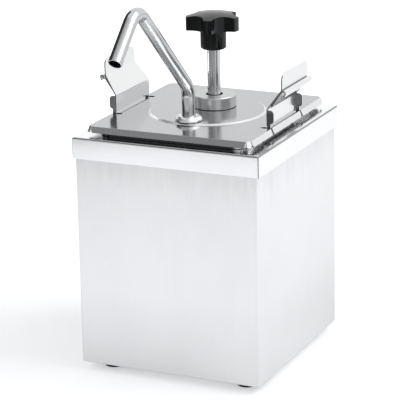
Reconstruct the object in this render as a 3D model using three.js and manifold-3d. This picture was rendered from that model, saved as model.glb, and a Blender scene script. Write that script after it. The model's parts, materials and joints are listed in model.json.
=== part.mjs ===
// Condiment dispenser: a sheet-metal housing, a lift-out pan and a latched lid that carries a plunger pump.
// Millimetres, +Z up, front towards -Y. The origin lies under the middle of the model's box.
import * as THREE from 'three';
import { mergeVertices } from 'three/addons/utils/BufferGeometryUtils.js';
import Module from 'manifold-3d';

const wasm = await Module();
wasm.setup();

// Fits and modelling values shared by many pieces
const seatGap = 0.3;
const slideGap = 0.4;
const overrun = 6;
const mergeDistance = 0.0001;
const roundSteps = 36;
const smallSteps = 18;
const ballSteps = 14;
const cornerSteps = 4;
const fullTurn = Math.PI * 2;
const quarterTurn = Math.PI / 2;
const half = 0.5;

// Housing
const bodyWidth = 186;
const bodyDepth = 196;
const wall = 1.2;
const bodyCornerRadius = 2.4;
const baseFlange = 36;
const panelClearance = 0.5;

// Top frame, the skirted cap with the pan opening
const skirtClearance = 0.8;
const skirtHeight = 20.7;
const skirtCornerRadius = 1.4;
const openingLip = 7.2;

// Feet and their screws
const footHeight = 8;
const footTopRadius = 11;
const footBottomRadius = 9.8;
const footInsetX = 23;
const footInsetY = 24;
const screwRadius = 2;
const screwClearance = 0.3;
const screwHeadRadius = 3.8;
const screwHeadHeight = 2.2;
const footWebHeight = 3.4;
const nutRadius = 4.2;
const nutHeight = 3.2;
const nutSides = 6;

// Pan
const panSideRoom = 19;
const panEndRoom = 13.5;
const panFloorRoom = 26.5;
const panHeight = 198;
const panWall = 0.8;
const panCornerRadius = 16;
const panBottomRadius = 10;
const panClearance = 0.7;
const panDraftShare = 0.02;
const rimGrowth = 2.7;
const rimDrop = 8;

// Lid
const lidSheet = 1.2;
const lidFrontRoom = 3.4;
const lidSideRoom = 0.4;
const lidCornerCut = 4.5;
const cornerFlapWidth = 4.2;
const flangeDrop = 5.8;
const flangeFlare = 2.2;
const flangeCorner = 3.6;
const plateauRadius = 54.4;
const plateauRise = 1.4;
const plateauSlope = 2.6;
const plateauOverlap = 2;

// Lid latches
const latchY = -3.5;
const latchWidth = 72;
const latchSheet = 1.2;
const slotWidth = 4.8;
const slotLength = 8.5;
const flapGap = 3.2;
const hingeRoom = 1.2;
const barrelRadius = 2.1;
const pinRadius = 1.1;
const pinClearance = 0.25;
const pinHeadRadius = 1.8;
const pinHeadHeight = 0.9;
const eyeRadius = 2.7;
const clawReach = 3.2;
const clawStart = THREE.MathUtils.degToRad(-88);
const clawEnd = THREE.MathUtils.degToRad(-116);
const clawSteps = 4;
const legWidth = 3.4;
const webInset = 1.8;
const webFoot = 2;
const webHeight = 17.7;
const leanOut = 12.6;
const leanUp = 17.9;
const tabHeight = 16.1;
const tabLean = 0.6;
const tabWidth = 63;
const tabTopWidth = 48;
const tabCornerHeight = 7.5;
const earReach = 6.6;
const earFoot = 4;
const earTop = 17;
const earCorner = 4;
const gripWidth = 66;
const gripArm = 19;
const gripRadius = 1.8;
const gripReturn = 3;
const gripTurn = THREE.MathUtils.degToRad(165);
const gripSteps = 8;

// Pump cylinder, its cap and the plunger
const pumpY = 16;
const cylinderRadius = 17;
const cylinderWall = 2;
const cylinderFlangeRadius = 21;
const cylinderFlangeHeight = 3;
const gasketHeight = 1.6;
const lidHoleClearance = 0.3;
const capRadius = 21.1;
const capHeight = 11.6;
const capTop = 2.6;
const capEdge = 0.8;
const capHoleRadius = 8.2;
const bushDepth = 9;
const bushFlangeHeight = 1.6;
const bushClearance = 0.4;
const rodRadius = 6.35;
const rodWall = 1.5;
const rodShown = 44.4;
const pistonHeight = 14;
const pistonClearance = 0.3;
const sealGroove = 2.6;
const sealSection = 1.2;
const spigotHeight = 10;
const springLength = 66;
const springRadius = 11.4;
const springWire = 0.9;
const springCoils = 8;
const springStepsPerCoil = 12;
const springSides = 6;
const springSeatHeight = 2;
const springSeatHole = 3.8;

// Knob: a hub under five lobes
const lobeCount = 5;
const knobRadius = 26.2;
const lobeHalfAngle = THREE.MathUtils.degToRad(9);
const lobeTurn = THREE.MathUtils.degToRad(12);
const scallopDepth = 8.3;
const lobeHeight = 16.3;
const domeDrop = 5;
const domeSteps = 5;
const hubRadius = 12.5;
const hubCorner = 2.5;
const hubCornerSteps = 3;
const hubHeight = 19;
const insertRadius = 4.4;
const insertLength = 22;

// Pump foot and valves
const floorClearance = 5;
const footBossRadius = 20.5;
const footSocketDepth = 10;
const valveFlangeRadius = 16;
const valveFlangeHeight = 5;
const valveSpigotRadius = 11.7;
const valveSpigotHeight = 7;
const valvePassage = 4.2;
const ballRadius = 5.5;
const ballLift = 3;
const ductRadius = 6.6;
const ductBore = 4;
const ductHeight = 11.5;
const valveConeRadius = 8;
const outletSeatRadius = 9.4;
const outletSeatHeight = 6;
const outletBossWall = 2.8;

// Discharge pipe inside the pan and the spout above the lid
const spoutY = -43;
const pipeRadius = 6.35;
const pipeWall = 1.5;
const pipeSocketDepth = 10;
const riserHeight = 32.6;
const climbLength = 141.2;
const climbAngle = THREE.MathUtils.degToRad(42.3);
const fallLength = 59.9;
const fallAngle = THREE.MathUtils.degToRad(43);
const lowerBendRadius = 20;
const upperBendRadius = 13;
const lowerBendSteps = 8;
const upperBendSteps = 12;
const pipeSteps = 10;
const ferruleRadius = 12;
const ferruleTopRadius = 7.3;
const ferruleEdge = 0.9;
const ferruleHeight = 6.2;
const ferruleSteps = 6;
const spoutNutRadius = 11;
const spoutNutHeight = 14;

// Finishes
const finishes = {
  brushed: { color: 0xd4d6d8, roughness: 0.42, metalness: 0.95 },
  polished: { color: 0xc4c7ca, roughness: 0.14, metalness: 1 },
  black: { color: 0x121315, roughness: 0.22, metalness: 0 },
  rubber: { color: 0x1b1b1c, roughness: 0.85, metalness: 0 },
  plastic: { color: 0xe9e7e0, roughness: 0.5, metalness: 0 },
  silicone: { color: 0xb8b4ab, roughness: 0.7, metalness: 0 },
};

// Places worked out from the sizes
const panWidth = bodyWidth - 2 * panSideRoom;
const panDepth = bodyDepth - 2 * panEndRoom;
const boxHeight = panHeight + panFloorRoom;
const zTop = footHeight + boxHeight;
const shellTop = zTop - wall - seatGap;
const skirtGrowth = skirtClearance + wall;
const panTop = zTop + seatGap + rimDrop;
const panBottom = panTop - panHeight;
const lidTop = panTop + seatGap + lidSheet;
const pivotX = panWidth * half + rimGrowth + hingeRoom + barrelRadius;
const pivotZ = lidTop - lidSheet - seatGap - barrelRadius;
const pivotDrop = lidTop - pivotZ;
const lidHalfWidth = pivotX + barrelRadius + lidSideRoom;
const lidHalfDepth = panDepth * half + rimGrowth + lidFrontRoom;
const plateauTop = lidTop + plateauRise;
const plateauUnderside = plateauTop - lidSheet;
const slotY = (latchWidth - latchSheet) * half;
const capBottom = plateauTop + seatGap;
const capTopZ = capBottom + capHeight;
const bushFlangeTop = capTopZ - capTop - seatGap;
const neckTop = bushFlangeTop - bushFlangeHeight - seatGap;
const cylinderBore = cylinderRadius - cylinderWall;
const knobBottom = capTopZ + rodShown;
const lobeBottom = knobBottom + hubHeight;
const knobTop = lobeBottom + lobeHeight;
const valveBottom = panBottom + panWall + floorClearance;
const pumpFootBottom = valveBottom + valveFlangeHeight + seatGap;
const ballRise = Math.SQRT2 * (ballRadius + seatGap) - valveConeRadius;
const inletBallZ = pumpFootBottom + valveSpigotHeight + ballRise;
const springSeatBottom = inletBallZ + ballRadius + ballLift + seatGap;
const pumpFootShoulder = springSeatBottom + springSeatHeight;
const springBottom = pumpFootShoulder + seatGap;
const pistonBottom = springBottom + springLength + seatGap;
const pistonTop = pistonBottom + pistonHeight;
const ductZ = pumpFootBottom + ductHeight;
const outletSeatBottom = ductZ + ductRadius;
const outletBallZ = outletSeatBottom + outletSeatHeight + ballRise;
const pipeBottom = outletBallZ + ballRadius + ballLift + seatGap;
const outletBossTop = pipeBottom + pipeSocketDepth - seatGap;
const spoutNutTop = plateauUnderside - seatGap;
const spoutBottom = spoutNutTop - spoutNutHeight * half;

// A geometry as a solid, turned right side out where its profile ran the other way
function solid(geometry) {
  const bare = geometry.clone();
  for (const name of Object.keys(bare.attributes)) {
    if (name !== 'position') bare.deleteAttribute(name);
  }
  const merged = mergeVertices(bare, mergeDistance);
  const index = merged.index.array;
  const triangles = [];
  for (let i = 0; i < index.length; i += 3) {
    const [a, b, c] = index.slice(i, i + 3);
    if (a !== b && b !== c && c !== a) triangles.push(a, b, c);
  }
  const positions = merged.attributes.position;
  if (signedVolume(positions, triangles) < 0) triangles.reverse();
  const vertProperties = new Float32Array(positions.array);
  const triVerts = new Uint32Array(triangles);
  return new wasm.Manifold(new wasm.Mesh({ numProp: 3, vertProperties, triVerts }));
}

function signedVolume(positions, triangles) {
  const corners = [new THREE.Vector3(), new THREE.Vector3(), new THREE.Vector3()];
  let sum = 0;
  for (let i = 0; i < triangles.length; i += 3) {
    corners.forEach((corner, k) => corner.fromBufferAttribute(positions, triangles[i + k]));
    sum += corners[0].dot(corners[1].cross(corners[2]));
  }
  return sum;
}

function geometryOf(manifold) {
  const { vertProperties, triVerts } = manifold.getMesh();
  const geometry = new THREE.BufferGeometry();
  geometry.setAttribute('position', new THREE.BufferAttribute(new Float32Array(vertProperties), 3));
  geometry.setIndex(new THREE.BufferAttribute(new Uint32Array(triVerts), 1));
  return geometry;
}

function join(first, ...others) {
  return geometryOf(others.reduce((whole, other) => whole.add(solid(other)), solid(first)));
}

function cut(first, ...cutters) {
  return geometryOf(cutters.reduce((rest, cutter) => rest.subtract(solid(cutter)), solid(first)));
}

function common(first, second) {
  return geometryOf(solid(first).intersect(solid(second)));
}

// Basic forms, all standing on z
function block(width, depth, height, x, y, z) {
  return new THREE.BoxGeometry(width, depth, height).translate(x, y, z + height * half);
}

function roundedOutline(halfWidth, halfDepth, radius) {
  const shape = new THREE.Shape();
  shape.absarc(halfWidth - radius, halfDepth - radius, radius, 0, quarterTurn);
  shape.absarc(radius - halfWidth, halfDepth - radius, radius, quarterTurn, Math.PI);
  shape.absarc(radius - halfWidth, radius - halfDepth, radius, Math.PI, Math.PI + quarterTurn);
  shape.absarc(halfWidth - radius, radius - halfDepth, radius, -quarterTurn, 0);
  shape.closePath();
  return shape;
}

function outlineOf(points) {
  return new THREE.Shape(points.map(([x, y]) => new THREE.Vector2(x, y)));
}

function upright(shape, height, z) {
  const options = { depth: height, bevelEnabled: false, curveSegments: cornerSteps };
  return new THREE.ExtrudeGeometry(shape, options).translate(0, 0, z);
}

// A profile drawn in x and z, run along y about its middle
function along(shape, length) {
  const options = { depth: length, bevelEnabled: false, curveSegments: cornerSteps };
  const geometry = new THREE.ExtrudeGeometry(shape, options);
  return geometry.rotateX(quarterTurn).translate(0, length * half, 0);
}

// A closed profile of radius and height, turned about the z axis
function turned(profile, steps = roundSteps) {
  const points = profile.map(([radius, height]) => new THREE.Vector2(radius, height));
  const first = points[0];
  if (first.x > 0) points.push(first.clone());
  return new THREE.LatheGeometry(points, steps).rotateX(quarterTurn);
}

function disc(radius, height, z, steps) {
  return turned([[0, z], [radius, z], [radius, z + height], [0, z + height]], steps);
}

function ring(outer, inner, height, z, steps) {
  return turned([[inner, z], [outer, z], [outer, z + height], [inner, z + height]], steps);
}

// A sheet-metal section: a line of points given an even thickness on both sides
function strip(points, thickness) {
  const line = points.map(([x, y]) => new THREE.Vector2(x, y));
  const left = [];
  const right = [];
  line.forEach((point, i) => {
    const before = line[Math.max(i - 1, 0)];
    const after = line[Math.min(i + 1, line.length - 1)];
    const into = point.clone().sub(i > 0 ? before : point).normalize();
    const out = after.clone().sub(point).normalize();
    if (i === 0) into.copy(out);
    if (i === line.length - 1) out.copy(into);
    const normal = new THREE.Vector2(-into.y - out.y, into.x + out.x).normalize();
    const reach = thickness * half / normal.dot(new THREE.Vector2(-into.y, into.x));
    left.push(point.clone().addScaledVector(normal, reach));
    right.unshift(point.clone().addScaledVector(normal, -reach));
  });
  return new THREE.Shape([...left, ...right]);
}

// Housing
function footPlaces() {
  const places = [];
  const footX = bodyWidth * half - footInsetX;
  const footY = bodyDepth * half - footInsetY;
  for (const [side, x] of [['left', -footX], ['right', footX]]) {
    for (const [end, y] of [['front', -footY], ['rear', footY]]) {
      places.push({ name: `${end}_${side}`, x, y });
    }
  }
  return places;
}

function screwHoles(z, height) {
  const radius = screwRadius + screwClearance;
  return footPlaces().map(({ x, y }) => disc(radius, height, z, smallSteps).translate(x, y, 0));
}

function housingShell() {
  const halfWidth = bodyWidth * half;
  const halfDepth = bodyDepth * half;
  const height = shellTop - footHeight;
  const outer = roundedOutline(halfWidth, halfDepth, bodyCornerRadius);
  const inner = roundedOutline(halfWidth - wall, halfDepth - wall, bodyCornerRadius - wall);
  const outside = upright(outer, height, footHeight);
  const inside = upright(inner, height, footHeight + wall);
  const floorOpening = block(
    bodyWidth - 2 * baseFlange,
    bodyDepth - 2 * baseFlange,
    wall + 2 * overrun,
    0,
    0,
    footHeight - overrun,
  );
  return cut(outside, inside, floorOpening, ...screwHoles(footHeight - overrun, wall + 2 * overrun));
}

function basePanel() {
  const halfWidth = bodyWidth * half - wall - panelClearance;
  const halfDepth = bodyDepth * half - wall - panelClearance;
  const bottom = footHeight + wall + seatGap;
  const sheet = upright(roundedOutline(halfWidth, halfDepth, bodyCornerRadius), wall, bottom);
  return cut(sheet, ...screwHoles(bottom - overrun, wall + 2 * overrun));
}

// A ring of sheet metal round the pan opening, between two growths of the pan's outline
function panRing(outerGrowth, innerGrowth, height, z) {
  const outside = upright(panOutline(outerGrowth), height, z);
  const inside = upright(panOutline(innerGrowth), height + 2 * overrun, z - overrun);
  return cut(outside, inside);
}

function panOutline(growth) {
  return roundedOutline(panWidth * half + growth, panDepth * half + growth, panCornerRadius + growth);
}

function topFrame() {
  const halfWidth = bodyWidth * half + skirtGrowth;
  const halfDepth = bodyDepth * half + skirtGrowth;
  const skirtBottom = zTop - skirtHeight;
  const plan = roundedOutline(halfWidth, halfDepth, skirtCornerRadius);
  const outside = upright(plan, skirtHeight, skirtBottom);
  const innerWidth = 2 * (halfWidth - wall);
  const innerDepth = 2 * (halfDepth - wall);
  const inside = block(innerWidth, innerDepth, skirtHeight, 0, 0, skirtBottom - wall);
  const opening = upright(panOutline(panClearance), wall + 2 * overrun, zTop - wall - overrun);
  const lip = panRing(panClearance + wall, panClearance, openingLip, zTop - openingLip);
  return join(cut(outside, inside, opening), lip);
}

// Feet
function rubberFoot() {
  const top = footHeight - seatGap;
  const bore = screwRadius + screwClearance;
  const counterbore = screwHeadRadius + screwClearance;
  return turned([
    [bore, top],
    [footTopRadius, top],
    [footBottomRadius, 0],
    [counterbore, 0],
    [counterbore, top - footWebHeight],
    [bore, top - footWebHeight],
  ], smallSteps);
}

function footScrew() {
  const headTop = footHeight - seatGap - footWebHeight - seatGap;
  const shank = footHeight + 2 * (wall + seatGap) + nutHeight - headTop;
  const head = disc(screwHeadRadius, screwHeadHeight, headTop - screwHeadHeight, smallSteps);
  return join(head, disc(screwRadius, shank + seatGap, headTop - seatGap, smallSteps));
}

function hexNut(radius, bore, height, z) {
  return cut(disc(radius, height, z, nutSides), disc(bore, height + 2 * overrun, z - overrun, smallSteps));
}

function footNut() {
  return hexNut(nutRadius, screwRadius + screwClearance, nutHeight, footHeight + 2 * (wall + seatGap));
}

// Pan: a drawn tub that hangs by its turned-down rim
function tub(growth, radius, bottom) {
  const outline = roundedOutline(
    panWidth * half + growth - radius,
    panDepth * half + growth - radius,
    panCornerRadius + growth - radius,
  );
  const geometry = new THREE.ExtrudeGeometry(outline, {
    depth: panTop + overrun - bottom,
    bevelThickness: radius,
    bevelSize: radius,
    bevelSegments: cornerSteps,
    curveSegments: cornerSteps,
  }).translate(0, 0, bottom + radius);
  const corners = geometry.attributes.position;
  for (let i = 0; i < corners.count; i += 1) {
    const share = 1 - panDraftShare * (panTop - corners.getZ(i)) / panHeight;
    corners.setXY(i, corners.getX(i) * share, corners.getY(i) * share);
  }
  return geometry;
}

function insetPan() {
  const above = block(2 * bodyWidth, 2 * bodyDepth, panHeight, 0, 0, panTop);
  const outside = cut(tub(0, panBottomRadius, panBottom), above);
  const inside = tub(-panWall, panBottomRadius - panWall, panBottom + panWall);
  const rim = upright(panOutline(rimGrowth), panWall, panTop - panWall);
  const lip = panRing(rimGrowth, rimGrowth - panWall, rimDrop, panTop - rimDrop);
  return cut(join(outside, rim, lip), inside);
}

// Lid
function mirrored(geometry) {
  return geometry.clone().scale(-1, 1, 1);
}

// A turned-down edge along y, its lower corners rounded off
function lidFlange(length) {
  const end = length * half;
  const radius = Math.min(flangeCorner, end);
  const bottom = -flangeDrop - lidSheet * half;
  const face = new THREE.Shape();
  face.moveTo(end, overrun);
  face.lineTo(-end, overrun);
  face.absarc(radius - end, bottom + radius, radius, Math.PI, Math.PI + quarterTurn);
  face.absarc(end - radius, bottom + radius, radius, -quarterTurn, 0);
  face.closePath();
  const section = strip([
    [-lidSheet - overrun * half, -lidSheet * half],
    [-lidSheet * half, -lidSheet * half],
    [flangeFlare - lidSheet * half, -flangeDrop],
  ], lidSheet);
  const reach = along(face, 2 * overrun + flangeFlare).rotateZ(quarterTurn);
  return common(along(section, length + overrun), reach);
}

function slotEdges() {
  return [-slotY, slotY].flatMap((y) => [latchY + y - flapGap * half, latchY + y + flapGap * half]);
}

// The side's edge in three lengths, parted where the latch legs pass
function sideFlanges() {
  const end = lidHalfDepth - lidCornerCut;
  const ends = [-end, ...slotEdges(), end];
  const flanges = [];
  for (let i = 0; i < ends.length; i += 2) {
    const length = ends[i + 1] - ends[i];
    flanges.push(lidFlange(length).translate(lidHalfWidth, ends[i] + length * half, lidTop));
  }
  return flanges;
}

function cornerFlaps() {
  const inset = (lidCornerCut - lidSheet) * half;
  const outwards = lidSheet * Math.SQRT1_2 - lidSheet - inset;
  const flap = lidFlange(cornerFlapWidth).rotateZ(quarterTurn * half);
  const rear = flap.translate(lidHalfWidth + outwards, lidHalfDepth + outwards, lidTop);
  return [rear, rear.clone().scale(1, -1, 1)];
}

function slotCutters() {
  const cutters = [];
  const reach = lidHalfWidth + flangeFlare + overrun;
  const radius = slotWidth * half;
  for (const y of [latchY - slotY, latchY + slotY]) {
    const pocket = new THREE.Shape();
    pocket.absarc(pivotX - slotLength + radius, y, radius, quarterTurn, Math.PI + quarterTurn);
    pocket.absarc(pivotX - radius, y, radius, -quarterTurn, quarterTurn);
    pocket.closePath();
    const channel = outlineOf([
      [pivotX - radius, y - flapGap * half],
      [reach, y - flapGap * half],
      [reach, y + flapGap * half],
      [pivotX - radius, y + flapGap * half],
    ]);
    for (const shape of [pocket, channel]) {
      cutters.push(upright(shape, flangeDrop + 2 * overrun, lidTop - flangeDrop - overrun));
    }
  }
  return cutters;
}

function lidSheetOutline() {
  const x = lidHalfWidth - lidSheet;
  const y = lidHalfDepth - lidSheet;
  const nearX = lidHalfWidth - lidCornerCut;
  const nearY = lidHalfDepth - lidCornerCut;
  const right = [[nearX, -y], [x, -nearY], [x, nearY], [nearX, y]];
  const left = right.map(([cornerX, cornerY]) => [-cornerX, -cornerY]);
  return outlineOf([...right, ...left]);
}

function lidPlate() {
  const underside = lidTop - lidSheet;
  const plateauFoot = plateauRadius + plateauSlope;
  const bore = disc(plateauFoot + plateauOverlap * half, lidSheet + 2 * overrun, underside - overrun);
  const sheet = cut(upright(lidSheetOutline(), lidSheet, underside), bore);
  const plateau = turned([
    [0, plateauUnderside],
    [plateauRadius, plateauUnderside],
    [plateauFoot, underside],
    [plateauFoot + plateauOverlap, underside],
    [plateauFoot + plateauOverlap, lidTop],
    [plateauFoot, lidTop],
    [plateauRadius, plateauTop],
    [0, plateauTop],
  ]);
  const frontLength = 2 * (lidHalfWidth - lidCornerCut);
  const front = lidFlange(frontLength).translate(lidHalfDepth, 0, lidTop).rotateZ(-quarterTurn);
  const rightEdges = [...sideFlanges(), ...cornerFlaps()];
  const slots = slotCutters();
  const holes = [[cylinderRadius, pumpY], [pipeRadius, spoutY]].map(([radius, y]) => (
    disc(radius + lidHoleClearance, 2 * overrun, lidTop - overrun).translate(0, y, 0)
  ));
  const edges = [...rightEdges, ...rightEdges.map(mirrored), front, front.clone().rotateZ(Math.PI)];
  return cut(join(sheet, plateau, ...edges), ...holes, ...slots, ...slots.map(mirrored));
}

// Latches, drawn about the hinge axis with outward as +X
function hingeBarrel() {
  const length = 2 * (slotY - latchSheet * half - slideGap);
  const bore = pinRadius + pinClearance;
  return ring(barrelRadius, bore, length, -length * half, smallSteps).rotateX(quarterTurn);
}

function hingePin() {
  const shankEnd = slotY + latchSheet * half + slideGap;
  const shank = disc(pinRadius, 2 * shankEnd, -shankEnd, smallSteps);
  const head = disc(pinHeadRadius, pinHeadHeight, shankEnd, smallSteps);
  const tail = disc(pinHeadRadius, pinHeadHeight, -shankEnd - pinHeadHeight, smallSteps);
  return join(shank, head, tail).rotateX(quarterTurn);
}

function leanStart() {
  return [-webInset, webHeight + pivotDrop];
}

function leanEnd() {
  const [x, z] = leanStart();
  return [x + leanOut, z + leanUp];
}

function latchFront() {
  const bend = webHeight + pivotDrop;
  const tabBottom = bend + leanUp;
  const tabTop = tabBottom + tabHeight;
  const shape = new THREE.Shape();
  shape.moveTo(-latchWidth * half, webFoot + pivotDrop);
  shape.lineTo(latchWidth * half, webFoot + pivotDrop);
  shape.lineTo(latchWidth * half, bend);
  shape.lineTo(tabWidth * half, tabBottom);
  shape.lineTo(tabWidth * half, tabTop - tabCornerHeight);
  shape.quadraticCurveTo(tabWidth * half, tabTop, tabTopWidth * half, tabTop);
  shape.lineTo(-tabTopWidth * half, tabTop);
  shape.quadraticCurveTo(-tabWidth * half, tabTop, -tabWidth * half, tabTop - tabCornerHeight);
  shape.lineTo(-tabWidth * half, tabBottom);
  shape.lineTo(-latchWidth * half, bend);
  shape.closePath();
  const reach = leanOut + webInset + overrun;
  return along(shape, 2 * reach).rotateZ(quarterTurn);
}

function latchEar() {
  const ear = new THREE.Shape();
  const bottom = earFoot + pivotDrop;
  const top = earTop + pivotDrop;
  const outer = earReach - webInset;
  const inner = -webInset - latchSheet * half;
  ear.moveTo(inner, bottom);
  ear.lineTo(outer - earCorner, bottom);
  ear.quadraticCurveTo(outer, bottom, outer, bottom + earCorner);
  ear.lineTo(outer, top - earCorner);
  ear.quadraticCurveTo(outer, top, outer - earCorner, top);
  ear.lineTo(inner, top);
  ear.closePath();
  const leg = block(legWidth, latchSheet, bottom + latchSheet, 0, 0, 0);
  const eye = disc(eyeRadius, latchSheet, -latchSheet * half, smallSteps).rotateX(quarterTurn);
  const claw = new THREE.Shape();
  claw.moveTo(0, 0);
  for (let i = 0; i <= clawSteps; i += 1) {
    const angle = clawStart + (clawEnd - clawStart) * i / clawSteps;
    claw.lineTo(clawReach * Math.cos(angle), clawReach * Math.sin(angle));
  }
  claw.closePath();
  const hole = disc(pinRadius + pinClearance, 2 * overrun, -overrun, smallSteps).rotateX(quarterTurn);
  return cut(join(along(ear, latchSheet), leg, eye, along(claw, latchSheet)), hole);
}

function latchLever() {
  const [bendX, bendZ] = leanStart();
  const [topX, topZ] = leanEnd();
  const section = strip([
    [bendX, webFoot + pivotDrop - overrun],
    [bendX, bendZ],
    [topX, topZ],
    [topX + tabLean, topZ + tabHeight + overrun],
  ], latchSheet);
  const sheet = common(along(section, latchWidth + overrun), latchFront());
  const ear = latchEar();
  return join(sheet, ear.clone().translate(0, -slotY, 0), ear.clone().translate(0, slotY, 0));
}

// The rolled second layer on the lean: an arm, a turn outwards and a short return
function latchGrip() {
  const start = new THREE.Vector2(...leanStart());
  const end = new THREE.Vector2(...leanEnd());
  const up = end.clone().sub(start).normalize();
  const out = new THREE.Vector2(up.y, -up.x);
  const armEnd = end.clone().addScaledVector(out, latchSheet + seatGap);
  const centre = armEnd.clone().addScaledVector(out, gripRadius);
  const points = [armEnd.clone().addScaledVector(up, -gripArm)];
  for (let i = 0; i <= gripSteps; i += 1) {
    const angle = gripTurn * i / gripSteps;
    const across = out.clone().multiplyScalar(-gripRadius * Math.cos(angle));
    points.push(centre.clone().add(across).addScaledVector(up, gripRadius * Math.sin(angle)));
  }
  const last = points[points.length - 1];
  const back = out.clone().multiplyScalar(Math.sin(gripTurn)).addScaledVector(up, Math.cos(gripTurn));
  points.push(last.clone().addScaledVector(back, gripReturn));
  return along(strip(points.map((point) => point.toArray()), latchSheet), gripWidth);
}

// Pump cylinder and what closes it, drawn about the pump axis
function cylinderCap() {
  const inner = cylinderRadius + slideGap;
  return turned([
    [inner, capBottom],
    [capRadius, capBottom],
    [capRadius, capTopZ - capEdge],
    [capRadius - capEdge, capTopZ],
    [capHoleRadius, capTopZ],
    [capHoleRadius, capTopZ - capTop],
    [inner, capTopZ - capTop],
  ]);
}

function rodBush() {
  const bore = rodRadius + bushClearance;
  const body = cylinderBore - slideGap;
  return turned([
    [bore, bushFlangeTop],
    [cylinderRadius, bushFlangeTop],
    [cylinderRadius, bushFlangeTop - bushFlangeHeight],
    [body, bushFlangeTop - bushFlangeHeight],
    [body, neckTop - bushDepth],
    [bore, neckTop - bushDepth],
  ]);
}

function pumpGasket() {
  const bottom = plateauUnderside - seatGap - gasketHeight;
  return ring(cylinderFlangeRadius, cylinderRadius + lidHoleClearance, gasketHeight, bottom);
}

function pumpCylinder() {
  const flangeTop = plateauUnderside - gasketHeight - 2 * seatGap;
  return turned([
    [cylinderBore, pumpFootShoulder + seatGap],
    [cylinderRadius, pumpFootShoulder + seatGap],
    [cylinderRadius, flangeTop - cylinderFlangeHeight],
    [cylinderFlangeRadius, flangeTop - cylinderFlangeHeight],
    [cylinderFlangeRadius, flangeTop],
    [cylinderRadius, flangeTop],
    [cylinderRadius, neckTop],
    [cylinderBore, neckTop],
  ]);
}

// A ball seat: a passage that opens upwards in a cone
function seatBore(top) {
  const depth = valveConeRadius - valvePassage;
  return turned([
    [0, top - depth - valveFlangeHeight * 2 - valveSpigotHeight],
    [valvePassage, top - depth - valveFlangeHeight * 2 - valveSpigotHeight],
    [valvePassage, top - depth],
    [valveConeRadius + overrun, top + overrun],
    [0, top + overrun],
  ], smallSteps);
}

function inletValveBody() {
  const top = pumpFootBottom + valveSpigotHeight;
  const flange = disc(valveFlangeRadius, valveFlangeHeight, valveBottom);
  const spigot = disc(valveSpigotRadius, top - valveBottom, valveBottom);
  return cut(join(flange, spigot), seatBore(top));
}

function outletValveSeat() {
  const top = outletSeatBottom + outletSeatHeight;
  return cut(disc(outletSeatRadius, outletSeatHeight, outletSeatBottom), seatBore(top));
}

function valveBall() {
  return new THREE.SphereGeometry(ballRadius, ballSteps, ballSteps * half);
}

// The casting at the bottom, which carries the flow from the cylinder to the discharge pipe
function pumpFoot() {
  const bossTop = pumpFootShoulder + footSocketDepth;
  const cylinderBoss = disc(footBossRadius, bossTop - pumpFootBottom, pumpFootBottom).translate(0, pumpY, 0);
  const outletBore = outletSeatRadius + slideGap;
  const outletBossBottom = ductZ - ductRadius;
  const outletBoss = disc(outletBore + outletBossWall, outletBossTop - outletBossBottom, outletBossBottom)
    .translate(0, spoutY, 0);
  const [duct, ductHole] = [ductRadius, ductBore].map((radius) => (
    disc(radius, pumpY - spoutY, 0, smallSteps).rotateX(quarterTurn).translate(0, pumpY, ductZ)
  ));
  const chamber = turned([
    [0, pumpFootBottom - overrun],
    [valveSpigotRadius + slideGap, pumpFootBottom - overrun],
    [valveSpigotRadius + slideGap, springSeatBottom - seatGap],
    [cylinderBore, springSeatBottom - seatGap],
    [cylinderBore, pumpFootShoulder],
    [cylinderRadius + slideGap, pumpFootShoulder],
    [cylinderRadius + slideGap, bossTop + overrun],
    [0, bossTop + overrun],
  ]).translate(0, pumpY, 0);
  const outlet = turned([
    [0, ductZ - ductBore],
    [valvePassage, ductZ - ductBore],
    [valvePassage, outletSeatBottom - seatGap],
    [outletBore, outletSeatBottom - seatGap],
    [outletBore, outletBossTop + overrun],
    [0, outletBossTop + overrun],
  ]).translate(0, spoutY, 0);
  return cut(join(cylinderBoss, outletBoss, duct), chamber, outlet, ductHole);
}

function springSeat() {
  return ring(cylinderBore - slideGap, springSeatHole, springSeatHeight - seatGap, springSeatBottom);
}

// Plunger
function pistonHead() {
  const radius = cylinderBore - pistonClearance;
  const middle = pistonBottom + pistonHeight * half;
  const grooveRadius = radius - 2 * sealSection;
  const spigot = rodRadius - rodWall - slideGap;
  return turned([
    [0, pistonBottom],
    [radius, pistonBottom],
    [radius, middle - sealGroove * half],
    [grooveRadius - seatGap, middle - sealGroove * half],
    [grooveRadius - seatGap, middle + sealGroove * half],
    [radius, middle + sealGroove * half],
    [radius, pistonTop],
    [spigot, pistonTop],
    [spigot, pistonTop + spigotHeight],
    [0, pistonTop + spigotHeight],
  ]);
}

function pistonSeal() {
  const radius = cylinderBore - pistonClearance * half - sealSection;
  const middle = pistonBottom + pistonHeight * half;
  return new THREE.TorusGeometry(radius, sealSection, springSides + 2, roundSteps).translate(0, 0, middle);
}

class Helix extends THREE.Curve {
  getPoint(share) {
    const angle = fullTurn * springCoils * share;
    const rise = springLength - 2 * springWire;
    return new THREE.Vector3(springRadius * Math.cos(angle), springRadius * Math.sin(angle), rise * share);
  }
}

function returnSpring() {
  const wire = new THREE.Shape().absarc(0, 0, springWire, 0, fullTurn);
  return new THREE.ExtrudeGeometry(wire, {
    steps: springCoils * springStepsPerCoil,
    curveSegments: springSides * half,
    extrudePath: new Helix(),
  }).translate(0, 0, springBottom + springWire);
}

function plungerRod() {
  const bottom = pistonTop + seatGap;
  return ring(rodRadius, rodRadius - rodWall, knobBottom - seatGap - bottom, bottom);
}

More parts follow.
